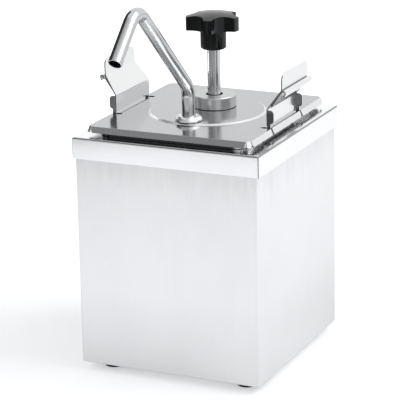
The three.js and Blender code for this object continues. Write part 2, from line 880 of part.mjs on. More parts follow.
// Knob: a lobed outline under a shallow dome, on a round hub
function lobedOutline() {
  const pitch = fullTurn / lobeCount;
  const scallopHalfAngle = pitch * half - lobeHalfAngle;
  const chordHalf = knobRadius * Math.sin(scallopHalfAngle);
  const sag = knobRadius * Math.cos(scallopHalfAngle) - (knobRadius - scallopDepth);
  const scallopRadius = (chordHalf ** 2 + sag ** 2) / (2 * sag);
  const scallopCentre = knobRadius - scallopDepth + scallopRadius;
  const lean = Math.asin(Math.min(chordHalf / scallopRadius, 1));
  const halfSweep = sag > scallopRadius ? Math.PI - lean : lean;
  const shape = new THREE.Shape();
  for (let i = 0; i < lobeCount; i += 1) {
    const lobe = pitch * i - quarterTurn + lobeTurn;
    const between = lobe + pitch * half;
    shape.absarc(0, 0, knobRadius, lobe - lobeHalfAngle, lobe + lobeHalfAngle);
    const x = scallopCentre * Math.cos(between);
    const y = scallopCentre * Math.sin(between);
    const inward = between + Math.PI;
    shape.absarc(x, y, scallopRadius, inward + halfSweep, inward - halfSweep, true);
  }
  shape.closePath();
  return shape;
}

function starKnob() {
  const lobes = upright(lobedOutline(), lobeHeight, lobeBottom);
  const blankRadius = knobRadius + overrun;
  const dome = [[0, lobeBottom - overrun], [blankRadius, lobeBottom - overrun]];
  for (let i = domeSteps; i >= 0; i -= 1) {
    const share = i / domeSteps;
    dome.push([blankRadius * share, knobTop - domeDrop * share ** 2]);
  }
  const hub = [[0, knobBottom]];
  for (let i = 0; i <= hubCornerSteps; i += 1) {
    const angle = quarterTurn * i / hubCornerSteps;
    const radius = hubRadius - hubCorner * (1 - Math.sin(angle));
    hub.push([radius, knobBottom + hubCorner * (1 - Math.cos(angle))]);
  }
  hub.push([hubRadius, lobeBottom + overrun], [0, lobeBottom + overrun]);
  const depth = insertLength * half + seatGap;
  const bore = disc(insertRadius + slideGap, depth + overrun, knobBottom - overrun, smallSteps);
  return cut(join(common(lobes, turned(dome)), turned(hub)), bore);
}

function knobStud() {
  return disc(insertRadius, insertLength, knobBottom - insertLength * half, smallSteps);
}

// A path of straight runs joined by round bends, with steps only where it bends
class BentPath extends THREE.Curve {
  constructor(corners, bends) {
    super();
    this.runs = [];
    let from = corners[0];
    bends.forEach((bend, i) => {
      const arc = this.bendAt(corners[i], corners[i + 1], corners[i + 2], bend);
      this.addLine(from, arc.at(0));
      this.runs.push(arc);
      from = arc.at(1);
    });
    this.addLine(from, corners[corners.length - 1]);
    this.steps = this.runs.reduce((sum, run) => sum + run.steps, 0);
  }

  addLine(start, end) {
    this.runs.push({ steps: 1, at: (share) => start.clone().lerp(end, share) });
  }

  bendAt(before, corner, after, { radius, steps }) {
    const into = corner.clone().sub(before).normalize();
    const out = after.clone().sub(corner).normalize();
    const turn = into.angleTo(out);
    const start = corner.clone().addScaledVector(into, -radius * Math.tan(turn * half));
    const inward = out.clone().addScaledVector(into, -into.dot(out)).normalize();
    const centre = start.clone().addScaledVector(inward, radius);
    return {
      steps,
      at: (share) => centre.clone()
        .addScaledVector(inward, -radius * Math.cos(turn * share))
        .addScaledVector(into, radius * Math.sin(turn * share)),
    };
  }

  getUtoTmapping(share) {
    return share;
  }

  getPoint(share) {
    let step = share * this.steps;
    for (const run of this.runs) {
      if (step <= run.steps) return run.at(step / run.steps);
      step -= run.steps;
    }
    return this.runs[this.runs.length - 1].at(1);
  }
}

// Discharge
function dischargeSpout() {
  const foot = new THREE.Vector3(0, 0, spoutBottom);
  const knee = new THREE.Vector3(0, 0, lidTop + riserHeight);
  const climb = new THREE.Vector3(0, -Math.cos(climbAngle), Math.sin(climbAngle));
  const fall = new THREE.Vector3(0, -Math.cos(fallAngle), -Math.sin(fallAngle));
  const crest = knee.clone().addScaledVector(climb, climbLength);
  const mouth = crest.clone().addScaledVector(fall, fallLength);
  const path = new BentPath([foot, knee, crest, mouth], [
    { radius: lowerBendRadius, steps: lowerBendSteps },
    { radius: upperBendRadius, steps: upperBendSteps },
  ]);
  const section = new THREE.Shape().absarc(0, 0, pipeRadius, 0, fullTurn);
  section.holes.push(new THREE.Path().absarc(0, 0, pipeRadius - pipeWall, 0, fullTurn));
  const options = { steps: path.steps, curveSegments: pipeSteps, extrudePath: path };
  return new THREE.ExtrudeGeometry(section, options);
}

function dischargePipe() {
  const top = spoutBottom - seatGap;
  const collar = outletSeatRadius;
  const bore = pipeRadius - pipeWall;
  return turned([
    [bore, pipeBottom],
    [collar, pipeBottom],
    [collar, outletBossTop],
    [pipeRadius, outletBossTop],
    [pipeRadius, top],
    [bore, top],
  ], smallSteps);
}

function spoutNut() {
  return hexNut(spoutNutRadius, pipeRadius + seatGap, spoutNutHeight, spoutNutTop - spoutNutHeight);
}

function spoutFerrule() {
  const bottom = plateauTop + seatGap;
  const bore = pipeRadius + seatGap;
  const profile = [[bore, bottom], [ferruleRadius, bottom]];
  for (let i = 0; i <= ferruleSteps; i += 1) {
    const angle = quarterTurn * i / ferruleSteps;
    const radius = ferruleRadius - (ferruleRadius - ferruleTopRadius) * Math.sin(angle);
    profile.push([radius, bottom + ferruleEdge + (ferruleHeight - ferruleEdge) * (1 - Math.cos(angle))]);
  }
  profile.push([bore, bottom + ferruleHeight]);
  return turned(profile);
}

// Assembly
const model = new THREE.Group();

function add(parent, name, geometry, finish, x = 0, y = 0, z = 0) {
  const material = new THREE.MeshStandardMaterial(finishes[finish]);
  const mesh = new THREE.Mesh(geometryOf(solid(geometry)), material);
  mesh.name = name;
  mesh.position.set(x, y, z);
  parent.add(mesh);
}

function addHousing() {
  const housing = new THREE.Group();
  add(housing, 'housing_shell', housingShell(), 'brushed');
  add(housing, 'base_panel', basePanel(), 'brushed');
  add(housing, 'top_frame', topFrame(), 'brushed');
  for (const { name, x, y } of footPlaces()) {
    add(housing, `foot_${name}`, rubberFoot(), 'rubber', x, y);
    add(housing, `foot_screw_${name}`, footScrew(), 'polished', x, y);
    add(housing, `foot_nut_${name}`, footNut(), 'polished', x, y);
  }
  model.add(housing);
}

function addLid() {
  const lid = new THREE.Group();
  add(lid, 'lid_plate', lidPlate(), 'polished');
  for (const [side, turn] of [['right', 0], ['left', Math.PI]]) {
    const latch = new THREE.Group();
    add(latch, `hinge_barrel_${side}`, hingeBarrel(), 'polished');
    add(latch, `hinge_pin_${side}`, hingePin(), 'polished');
    add(latch, `latch_lever_${side}`, latchLever(), 'polished');
    add(latch, `latch_grip_${side}`, latchGrip(), 'polished');
    latch.position.set(pivotX * Math.cos(turn), latchY, pivotZ);
    latch.rotation.z = turn;
    lid.add(latch);
  }
  model.add(lid);
}

function addPump() {
  const pump = new THREE.Group();
  pump.position.y = pumpY;
  add(pump, 'cylinder_cap', cylinderCap(), 'polished');
  add(pump, 'rod_bush', rodBush(), 'plastic');
  add(pump, 'pump_gasket', pumpGasket(), 'silicone');
  add(pump, 'pump_cylinder', pumpCylinder(), 'polished');
  add(pump, 'spring_seat', springSeat(), 'polished');
  add(pump, 'inlet_valve_body', inletValveBody(), 'polished');
  add(pump, 'inlet_ball', valveBall(), 'polished', 0, 0, inletBallZ);
  add(pump, 'return_spring', returnSpring(), 'polished');
  add(pump, 'piston_head', pistonHead(), 'plastic');
  add(pump, 'piston_seal', pistonSeal(), 'silicone');
  add(pump, 'plunger_rod', plungerRod(), 'polished');
  add(pump, 'knob_stud', knobStud(), 'polished');
  add(pump, 'star_knob', starKnob(), 'black');
  add(model, 'pump_foot', pumpFoot(), 'polished');
  model.add(pump);
}

function addDischarge() {
  const discharge = new THREE.Group();
  discharge.position.y = spoutY;
  add(discharge, 'outlet_valve_seat', outletValveSeat(), 'polished');
  add(discharge, 'outlet_ball', valveBall(), 'polished', 0, 0, outletBallZ);
  add(discharge, 'discharge_pipe', dischargePipe(), 'polished');
  add(discharge, 'spout_nut', spoutNut(), 'polished');
  add(discharge, 'spout_ferrule', spoutFerrule(), 'polished');
  add(discharge, 'discharge_spout', dischargeSpout(), 'polished');
  model.add(discharge);
}

addHousing();
add(model, 'inset_pan', insetPan(), 'polished');
addLid();
addPump();
addDischarge();

// The model's box is centred over the origin
const box = new THREE.Box3().setFromObject(model);
model.position.y = -(box.min.y + box.max.y) * half;

export default model;
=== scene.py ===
# Looks of a condiment dispenser: a sheet-metal housing, a lift-out pan, a latched lid and its pump.
# Every length is in metres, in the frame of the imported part: +Z up, the front towards -Y.
import json
import math

import bmesh
import bpy
from bpy.props import FloatProperty, FloatVectorProperty, IntProperty, PointerProperty
from mathutils import Matrix, Vector


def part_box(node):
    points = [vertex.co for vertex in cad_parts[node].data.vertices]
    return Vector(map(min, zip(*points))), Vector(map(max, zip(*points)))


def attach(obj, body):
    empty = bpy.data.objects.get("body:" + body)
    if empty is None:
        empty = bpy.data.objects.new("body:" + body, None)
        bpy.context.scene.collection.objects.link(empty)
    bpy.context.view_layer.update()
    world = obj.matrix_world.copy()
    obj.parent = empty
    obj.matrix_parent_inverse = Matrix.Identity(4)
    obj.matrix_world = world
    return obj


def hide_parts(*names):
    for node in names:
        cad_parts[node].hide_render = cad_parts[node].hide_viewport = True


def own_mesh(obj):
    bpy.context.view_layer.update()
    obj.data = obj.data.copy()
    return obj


bl_info = {
    "name": "Condiment Dispenser",
    "version": (1, 0, 0),
    "blender": (4, 5, 0),
    "location": "3D View > Sidebar > Dispenser",
    "description": "Builds the looks of a pump dispenser around its packed frame",
    "category": "Object",
}

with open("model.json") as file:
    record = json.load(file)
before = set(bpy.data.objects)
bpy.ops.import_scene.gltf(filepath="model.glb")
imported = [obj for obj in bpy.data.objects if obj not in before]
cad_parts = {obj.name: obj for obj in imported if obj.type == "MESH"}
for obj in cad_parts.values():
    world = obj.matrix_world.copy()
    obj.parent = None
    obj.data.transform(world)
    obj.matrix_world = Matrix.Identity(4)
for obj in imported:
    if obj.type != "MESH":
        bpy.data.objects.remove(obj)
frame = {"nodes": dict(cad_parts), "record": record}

BODY_OF = {node: body for body, nodes in frame["record"]["behaviour"]["bodies"].items() for node in nodes}
FEET = ("front_left", "front_right", "rear_left", "rear_right")
FULL_TURN = 2 * math.pi
QUARTER_TURN = math.pi / 2
TOUCHING = 1e-7
MERGE_DISTANCE = 2e-6
NEARLY_STRAIGHT = math.radians(178)
NEARLY_FLAT = math.radians(0.6)
SHARP_ENOUGH = math.radians(28)
TRIM_SHARE = 0.49
DRAFT_SHARE = 0.02
WHITE = (1, 1, 1, 1)
SKY_TINT = (0.96, 0.98, 1, 1)
KEY_PLACE = (1.5, 0.5, 1.9)
FILL_PLACE = (-0.9, -1.6, 1.5)
LAMP_AIM = (0, 0.03, 0.15)
LAMP_SIDE = 1.6
PANEL_MIDDLE = 0.25
PANEL_STEPS = 12
SECTOR_STEPS = 24
REFLECTED_SHADE_RISE = 0.001
REFLECTED_SHADE_HEADING = (118, 318)
# Glowing panels seen only in reflections: painted reflections of a darker studio.
PANELS = (
    ("Left panel", (134, 215), (-3, 54), 0.05),
    ("Front panel", (215, 300), (7, 50), 0.42),
    ("Upper panel", (190, 292), (50, 74), 0.60),
    ("Right gap", (-35, 30), (44, 57), 0.25),
)


def length(name, default, description):
    return FloatProperty(
        name=name, description=description, default=default, min=0, unit="LENGTH", precision=5
    )


def angle(name, default, description):
    return FloatProperty(name=name, description=description, default=default, subtype="ANGLE")


def amount(name, default, description):
    return FloatProperty(name=name, description=description, default=default, min=0)


def count(name, default, least, description):
    return IntProperty(name=name, description=description, default=default, min=least)


def colour(name, default, description):
    return FloatVectorProperty(
        name=name, description=description, default=default, size=3, min=0, max=1, subtype="COLOR"
    )


class DispenserSizes(bpy.types.PropertyGroup):
    """Sizes that the looks add to those of the frame."""

    sheet: length("Sheet", 0.0012, "Thickness of the folded sheet metal")
    pan_sheet: length("Pan sheet", 0.0008, "Thickness of the drawn pan")
    fold_radius: length("Fold radius", 0.0014, "Outside radius of a folded sheet")
    rim_fold: length("Rim fold", 0.0020, "Outside radius of the fold round the top frame")
    edge_radius: length("Edge radius", 0.00025, "Radius on the cut edges of a sheet")
    body_corner: length("Body corner", 0.0024, "Radius of the housing's upright folds")
    skirt_corner: length("Skirt corner", 0.0014, "Radius of the top frame's upright folds")
    base_flange: length("Base flange", 0.036, "Width of the housing's turned-in base")
    pan_corner: length("Pan corner", 0.016, "Radius of the pan's upright corners at its rim")
    pan_bottom: length("Pan bottom radius", 0.010, "Radius between the pan's walls and its floor")
    rim_growth: length("Rim growth", 0.0027, "How far the pan's rim stands out past its walls")
    rim_depth: length("Rim depth", 0.008, "How far the pan's rim is turned down")
    opening_room: length("Opening room", 0.0007, "Gap between the pan and the opening it hangs in")
    opening_lip: length("Opening lip", 0.0072, "Depth of the turned-down lip round the opening")
    disc_rise: length("Disc rise", 0.0014, "Height of the lid's raised disc")
    lid_edge: length("Lid edge", 0.0004, "Radius on the lid's cut edges")
    foot_taper: length("Foot taper", 0.0012, "How much smaller a foot's radius is at its bottom")
    foot_web: length("Foot web", 0.0034, "Rubber between a foot's recess and its top")
    screw_room: length("Screw room", 0.0003, "Gap round the head of a foot's screw")
    screw_hole: length("Screw hole", 0.0023, "Radius of the hole through a foot")
    cap_bore: length("Cap bore", 0.0174, "Inside radius of the cylinder cap")
    cap_hole: length("Cap hole", 0.0082, "Radius of the hole that the rod comes out of")
    cap_roof: length("Cap roof", 0.0026, "Thickness of the cylinder cap's top")
    spring_wire: length("Spring wire", 0.0009, "Radius of the return spring's wire")
    rod_wall: length("Rod wall", 0.0015, "Wall thickness of the plunger rod")
    tube_wall: length("Tube wall", 0.0008, "Wall thickness of the spout")
    knee_height: length("Knee height", 0.0312, "Height of the spout's first bend above the lid")
    climb: length("Climb", 0.1412, "Length of the spout's rising run")
    climb_angle: angle("Climb angle", math.radians(42.3), "Rise of the spout above the level")
    fall: length("Fall", 0.0599, "Length of the spout's falling run")
    fall_angle: angle("Fall angle", math.radians(43), "Fall of the spout's end below the level")
    knee_bend: length("Knee bend", 0.020, "Radius of the spout's lower bend")
    crest_bend: length("Crest bend", 0.018, "Radius of the spout's upper bend")
    ferrule_radius: length("Ferrule radius", 0.0128, "Radius of the dome round the spout's foot")
    ferrule_height: length("Ferrule height", 0.0048, "Height of the dome round the spout's foot")
    ferrule_edge: length("Ferrule edge", 0.0007, "Height of the dome's upright edge")
    ferrule_top: length("Ferrule top", 0.0072, "Radius at which the dome ends at the spout")
    ferrule_bore: length("Ferrule bore", 0.00665, "Radius of the hole through the dome")
    moulded_radius: length("Moulded radius", 0.0011, "Radius on the knob's edges")
    rubber_radius: length("Rubber radius", 0.0007, "Radius on the edges of the feet")
    round_steps: count("Round steps", 96, 24, "Sides of a full round")
    corner_steps: count("Corner steps", 8, 2, "Steps in an upright corner")
    fillet_steps: count("Fillet steps", 3, 1, "Steps in a softened edge")
    pan_steps: count("Pan steps", 5, 1, "Steps in a bend of the pan")


class DispenserColours(bpy.types.PropertyGroup):
    """Base colours of the finishes."""

    housing: colour("Housing", (0.92, 0.926, 0.936), "Brushed steel of the housing")
    band: colour("Band", (0.955, 0.96, 0.97), "Brushed steel of the top frame")
    lid: colour("Lid", (0.47, 0.48, 0.49), "Smooth steel of the lid")
    # Painted light on the lid's side flanges and a painted highlight on its creases.
    flange: colour("Flange", (0.80, 0.805, 0.81), "Steel of the lid's side flanges and its creases")
    latch: colour("Latch", (0.86, 0.865, 0.87), "Bright steel of the latches")
    # Painted shade on the folds of the top frame.
    bend: colour("Bend", (0.33, 0.335, 0.34), "Duller steel on the folds of the top frame")
    # Bright steel of the ferrule, also painted light on the sides of the pan's rim.
    bright: colour("Bright", (0.93, 0.935, 0.94), "Bright steel of the ferrule and the pan rim's sides")
    tube: colour("Tube", (0.59, 0.60, 0.605), "Polished steel of the spout and the rod")
    satin: colour("Satin", (0.60, 0.61, 0.61), "Satin steel of the fittings")
    # Painted shade on the pan's rim in front and at the rear.
    rim: colour("Rim", (0.055, 0.057, 0.06), "Dull steel of the pan's rim in front and at the rear")
    pan: colour("Pan", (0.55, 0.56, 0.565), "Drawn steel of the pan")
    knob: colour("Knob", (0.004, 0.0045, 0.005), "Moulded black plastic")
    rubber: colour("Rubber", (0.012, 0.012, 0.013), "Black rubber of the feet")
    acetal: colour("Acetal", (0.78, 0.77, 0.72), "White plastic of the pump's fittings")
    # Painted shade on the latch faces that look along Y.
    latch_y_shade: colour("Cut edge", (0.20, 0.205, 0.21), "Dull steel of the latches' cut edges")
    silicone: colour("Silicone", (0.50, 0.49, 0.45), "Grey seals")
    # Painted shade in narrow gaps and crevices.
    crevice_shade: colour("Grime", (0.015, 0.016, 0.017), "Dark of the narrow gaps")
    floor: colour("Floor", (0.82, 0.825, 0.83), "Pale floor of the studio")


class DispenserStage(bpy.types.PropertyGroup):
    """Where the camera stands and how bright the studio is."""

    camera_place: FloatVectorProperty(
        name="Camera place", description="Where the camera stands", default=(0.8096, -1.7210, 0.7465),
        size=3, subtype="TRANSLATION", unit="LENGTH", precision=4,
    )
    camera_heading: angle("Heading", 0.4339, "Turn about the upright axis")
    camera_pitch: angle("Pitch", -0.296, "Tilt below the horizon")
    camera_roll: angle("Roll", -0.0196, "Turn about the view")
    lens: FloatProperty(name="Lens", description="Focal length in millimetres", default=188.97, min=1)
    sky_light: amount("Sky light", 0.55, "Strength of the even light")
    key_power: amount("Key power", 26, "Power of the main lamp")
    fill_power: amount("Fill power", 9, "Power of the front lamp")
    floor_reach: length("Floor reach", 12.0, "Half width of the floor")
    floor_glow: amount("Floor glow", 0.40, "White added to the floor round the object")
    floor_sheen: amount("Floor sheen", 0.25, "White added to the floor in reflections")
    glow_near: length("Glow near", 0.35, "Distance at which the floor starts to whiten")
    glow_far: length("Glow far", 1.1, "Distance at which the floor is white")
    # A sheet seen only in reflections: painted reflection of a darker floor.
    reflected_shade_near: length("Cloth near", 1.05, "Distance of the grey cloth's near edge")
    reflected_shade_far: length("Cloth far", 3.0, "Distance of the grey cloth's far edge")
    reflected_shade_tone: amount("Cloth tone", 0.22, "Brightness of the grey cloth")
    panel_reach: length("Panel reach", 4.0, "Distance of the studio panels")


# Outlines and profiles
def round_outline(radius, steps, centre):
    turns = (FULL_TURN * i / steps for i in range(steps))
    return [(centre[0] + radius * math.cos(turn), centre[1] + radius * math.sin(turn)) for turn in turns]


def box_outline(half_x, half_y, radius, steps):
    """A rectangle with rounded corners, always with the same number of points."""
    points = []
    for quarter, (sign_x, sign_y) in enumerate(((1, 1), (-1, 1), (-1, -1), (1, -1))):
        for step in range(steps + 1):
            turn = QUARTER_TURN * (quarter + step / steps)
            x = sign_x * (half_x - radius) + radius * math.cos(turn)
            y = sign_y * (half_y - radius) + radius * math.sin(turn)
            points.append((x, y))
    return points


def softened(profile, radius, steps, closed):
    """A profile with each corner replaced by an arc; a corner may carry its own radius as a third value."""
    last = len(profile) - 1
    result = []
    for i, point in enumerate(profile):
        corner = Vector(point[:2])
        wanted = point[2] if len(point) > 2 else radius
        if wanted < TOUCHING or (not closed and i in (0, last)):
            result.append(corner)
            continue
        before = Vector(profile[i - 1][:2]) - corner
        after = Vector(profile[0 if i == last else i + 1][:2]) - corner
        opening = before.angle(after)
        if opening > NEARLY_STRAIGHT:
            result.append(corner)
            continue
        trim = min(wanted / math.tan(opening / 2), before.length * TRIM_SHARE, after.length * TRIM_SHARE)
        bend = trim * math.tan(opening / 2)
        before.normalize()
        after.normalize()
        centre = corner + (before + after).normalized() * bend / math.sin(opening / 2)
        start = corner + before * trim - centre
        end = corner + after * trim - centre
        sweep = start.angle_signed(end)
        result += [centre + Matrix.Rotation(-sweep * k / steps, 2) @ start for k in range(steps + 1)]
    return result


def box_loops(profile, half_x, half_y, radius, centre, closed, steps=None, shrunk=lambda z: 1):
    """The softened profile carried round a rectangle: a loop of points for each of its points."""
    sizes = bpy.context.scene.dispenser_sizes
    loops = []
    for growth, z in softened(profile, sizes.edge_radius, steps or sizes.fillet_steps, closed):
        corner = max(radius + growth, sizes.edge_radius)
        outline = box_outline(half_x + growth, half_y + growth, corner, sizes.corner_steps)
        loops.append([(centre[0] + x * shrunk(z), centre[1] + y * shrunk(z), z) for x, y in outline])
    return loops


def middle(low, high):
    return ((low.x + high.x) / 2, (low.y + high.y) / 2)


def halves(low, high):
    return ((high.x - low.x) / 2, (high.y - low.y) / 2)


# Meshes
def skin(bm, lower, upper):
    """Faces between two loops with the same number of points."""
    for i in range(len(lower)):
        after = (i + 1) % len(lower)
        bm.faces.new((lower[i], lower[after], upper[after], upper[i]))


def lofted(name, loops, closed):
    """A closed body through loops of points; an open run of loops is capped at both ends."""
    bm = bmesh.new()
    rings = [[bm.verts.new(point) for point in loop] for loop in loops]
    for lower, upper in zip(rings, rings[1:]):
        skin(bm, lower, upper)
    if closed:
        skin(bm, rings[-1], rings[0])
    else:
        for ring in (rings[0], rings[-1]):
            bm.faces.new(ring)
    bmesh.ops.recalc_face_normals(bm, faces=bm.faces)
    return mesh_object(name, bm)


def mesh_object(name, bm):
    mesh = bpy.data.meshes.new(name)
    bm.to_mesh(mesh)
    bm.free()
    return placed(name, mesh)


def placed(name, data):
    """A new object of the scene with that mesh, lamp or camera."""
    made = bpy.data.objects.new(name, data)
    bpy.context.collection.objects.link(made)
    return made


def turned(name, profile, radius, centre):
    """A round piece with a hole: the profile's points are (distance from the upright axis, height)."""
    sizes = bpy.context.scene.dispenser_sizes
    loops = []
    for reach, z in softened(profile, radius, sizes.fillet_steps, True):
        loops.append([(x, y, z) for x, y in round_outline(reach, sizes.round_steps, centre)])
    return lofted(name, loops, True)


def baked(piece):
    """The piece with its modifiers turned into a plain mesh."""
    bpy.context.view_layer.update()
    graph = bpy.context.evaluated_depsgraph_get()
    mesh = bpy.data.meshes.new_from_object(
        piece.evaluated_get(graph), preserve_all_data_layers=True, depsgraph=graph
    )
    piece.modifiers.clear()
    piece.data = mesh
    return piece


def smooth(piece, degrees=32):
    """Rounded surfaces shade smoothly, flat ones stay flat, and edges past the angle stay crisp."""
    piece.data.shade_smooth()
    piece.data.set_sharp_from_angle(angle=math.radians(degrees))
    weighted = piece.modifiers.new("Weighted normals", "WEIGHTED_NORMAL")
    weighted.keep_sharp = True
    return baked(piece)


def refined(node, radius, folds=None, fold_radius=0.0, steps=2):
    """A copy of a frame node with its triangles merged into faces and its edges softened."""
    bm = bmesh.new()
    bm.from_mesh(frame["nodes"][node].data)
    bmesh.ops.remove_doubles(bm, verts=bm.verts, dist=MERGE_DISTANCE)
    bmesh.ops.dissolve_limit(bm, angle_limit=NEARLY_FLAT, verts=bm.verts, edges=bm.edges)
    bmesh.ops.recalc_face_normals(bm, faces=bm.faces)
    weights = bm.edges.layers.float.new("bevel_weight_edge")
    widest = max(fold_radius, radius)
    for edge in bm.edges:
        if len(edge.link_faces) != 2 or edge.calc_face_angle(0) < SHARP_ENOUGH:
            continue
        fold = folds is not None and folds(edge)
        edge[weights] = (fold_radius if fold else radius) / widest
    piece = mesh_object(node + "_looks", bm)
    bevel = piece.modifiers.new("Softened edges", "BEVEL")
    bevel.limit_method = "WEIGHT"
    bevel.width = widest
    bevel.segments = steps
    bevel.use_clamp_overlap = True
    bevel.miter_outer = "MITER_ARC"
    return smooth(baked(piece))


def welded(piece):
    """The piece with touching points merged and its faces turned outwards."""
    bm = bmesh.new()
    bm.from_mesh(piece.data)
    bmesh.ops.remove_doubles(bm, verts=bm.verts, dist=MERGE_DISTANCE)
    bmesh.ops.recalc_face_normals(bm, faces=bm.faces)
    bm.to_mesh(piece.data)
    bm.free()
    return piece


def fitted(piece, node):
    """The piece, stretched along each axis so that it fills the node's box exactly."""
    low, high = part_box(node)
    points = [vert.co for vert in piece.data.vertices]
    for axis in range(3):
        least, most = min(p[axis] for p in points), max(p[axis] for p in points)
        share = (high[axis] - low[axis]) / (most - least)
        for point in points:
            point[axis] = low[axis] + (point[axis] - least) * share
    return piece


def finished(piece, finish, *nodes):
    """The piece stands for the nodes, in that finish, and moves with their body."""
    piece.data.materials.clear()
    piece.data.materials.append(finish_named(finish))
    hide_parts(*nodes)
    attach(piece, BODY_OF[nodes[0]])


def dressed(finish, *nodes):
    """One piece for each node: its own shape with softened edges, in that finish."""
    for node in nodes:
        finished(refined(node, bpy.context.scene.dispenser_sizes.edge_radius), finish, node)


# Finishes
def add_node(tree, kind, inputs=None, **settings):
    """A new node; its inputs are plain values or outputs of other nodes, which are linked."""
    made = tree.nodes.new(kind)
    for name, value in settings.items():
        setattr(made, name, value)
    for name, value in (inputs or {}).items():
        if isinstance(value, bpy.types.NodeSocket):
            tree.links.new(value, made.inputs[name])
        else:
            made.inputs[name].default_value = value
    return made


def colour_of(name):
    return tuple(getattr(bpy.context.scene.dispenser_colours, name))


def shaded(tone, share):
    return tuple(min(channel * share, 1) for channel in tone)


class Finish:
    """Short way of adding and linking the nodes of one material."""

    def __init__(self, name, base, metallic, roughness):
        self.material = bpy.data.materials.new(name)
        self.material.use_nodes = True
        self.material.diffuse_color = (*base, 1)
        self.tree = self.material.node_tree
        self.surface = self.tree.nodes["Principled BSDF"]
        self.surface.inputs["Base Color"].default_value = (*base, 1)
        self.surface.inputs["Metallic"].default_value = metallic
        self.surface.inputs["Roughness"].default_value = roughness
        self.base = base
        self.place = self.node("ShaderNodeTexCoord").outputs["Object"]

    def node(self, kind, inputs=None, **settings):
        return add_node(self.tree, kind, inputs, **settings)

    def noise(self, scale, stretch=(1, 1, 1), detail=3.0, roughness=0.5):
        place = self.node("ShaderNodeMapping", {"Vector": self.place, "Scale": stretch}).outputs["Vector"]
        inputs = {"Vector": place, "Scale": scale, "Detail": detail, "Roughness": roughness}
        return self.node("ShaderNodeTexNoise", inputs).outputs["Fac"]

    def ranged(self, value, low, high, to_low=0.0, to_high=1.0):
        inputs = {"Value": value, "From Min": low, "From Max": high, "To Min": to_low, "To Max": to_high}
        return self.node("ShaderNodeMapRange", inputs).outputs["Result"]

    def combined(self, operation, first, second):
        return self.node("ShaderNodeMath", {0: first, 1: second}, operation=operation).outputs["Value"]

    def plus(self, first, second):
        return self.combined("ADD", first, second)

    def times(self, first, second):
        return self.combined("MULTIPLY", first, second)

    def mixed(self, share, first, second):
        inputs = {0: share}
        for socket, tone in ((6, first), (7, second)):
            inputs[socket] = tone if isinstance(tone, bpy.types.NodeSocket) else (*tone, 1)
        return self.node("ShaderNodeMix", inputs, data_type="RGBA").outputs[2]

    def vector(self, operation, *values):
        made = self.node("ShaderNodeVectorMath", dict(enumerate(values)), operation=operation)
        return made.outputs["Value" if operation == "LENGTH" else "Vector"]

    def axes(self, vector):
        return self.node("ShaderNodeSeparateXYZ", {0: vector}).outputs

    def shaded_crevices(self, tone, crevice_shade, reach):
        """The tone, with painted shade where other surfaces stand close."""
        node = self.node("ShaderNodeAmbientOcclusion", {"Distance": reach}, samples=16)
        open_share = self.ranged(node.outputs["AO"], 0.10, 0.52)
        return self.mixed(open_share, crevice_shade, tone)

    def directions(self):
        """How far the surface faces along each axis, whichever way round."""
        facing = self.node("ShaderNodeTexCoord").outputs["Normal"]
        return self.axes(self.vector("ABSOLUTE", facing))

    def bends(self, steep=0.90, flat=0.985):
        """1 on folds and slopes, 0 on surfaces that face nearly along an axis."""
        x, y, z = self.directions()
        most = self.combined("MAXIMUM", self.combined("MAXIMUM", x, y), z)
        return self.ranged(most, steep, flat, 1.0, 0.0)

    def drive(self, name, output):
        self.tree.links.new(output, self.surface.inputs[name])

    def relief(self, height, strength, distance):
        inputs = {"Height": height, "Strength": strength, "Distance": distance}
        self.drive("Normal", self.node("ShaderNodeBump", inputs).outputs["Normal"])

    def glow(self, strength):
        return self.node("ShaderNodeEmission", {"Color": WHITE, "Strength": strength}).outputs[0]

    def show(self, shader):
        self.tree.links.new(shader, self.tree.nodes["Material Output"].inputs["Surface"])


def brushed_metal(
    name, base, roughness, grain=(1, 1, 0.012), contrast=0.015, relief=0.05, marks=None, bent=None, gap=0.006
):
    """Sheet metal with a fine grain along one axis, soft clouding, a few rubbed patches and painted shade in
    narrow gaps; its marks and fold tones add painted light and shade.
    """
    finish = Finish(name, base, 1.0, roughness)
    fine = finish.noise(5200, grain, 2.0, 0.6)
    coarse = finish.noise(1500, grain, 2.0, 0.5)
    lines = finish.plus(finish.times(fine, 0.5), finish.times(coarse, 0.5))
    clouds = finish.noise(9, (1, 1, 0.6), 2.0)
    rubbed = finish.ranged(finish.noise(42, (1, 1, 0.5), 4.0, 0.6), 0.60, 0.74)
    darker, paler = shaded(base, 1 - contrast), shaded(base, 1 + contrast)
    toned = finish.mixed(finish.ranged(lines, 0.36, 0.64), darker, paler)
    worn = finish.mixed(finish.times(rubbed, 0.2), toned, shaded(base, 1.04))
    varied = finish.ranged(lines, 0.3, 0.7, roughness * 0.9, roughness * 1.1)
    varied = finish.plus(varied, finish.ranged(clouds, 0.3, 0.7, -0.02, 0.02))
    varied = finish.combined("SUBTRACT", varied, finish.times(rubbed, 0.03))
    # Marks add painted light and shade on some faces; on the housing they also add faint clouds.
    if marks:
        worn = marks(finish, worn)
    # Painted tone on the folds: shade on the top frame, a highlight on the lid.
    if bent:
        where, bend_colour, bend_roughness = bent
        on_bend = where(finish)
        worn = finish.mixed(on_bend, worn, colour_of(bend_colour))
        varied = finish.plus(varied, finish.times(on_bend, bend_roughness - roughness))
    # Painted shade where other surfaces stand close.
    finish.drive("Base Color", finish.shaded_crevices(worn, colour_of("crevice_shade"), gap))
    finish.drive("Roughness", varied)
    finish.relief(lines, relief, 0.00005)
    return finish.material


def creases(finish):
    """1 on the lid's folds and on the step of its raised disc, which get a painted highlight; its sloping
    flanges stay 0.
    """
    return finish.bends(0.885, 0.915)


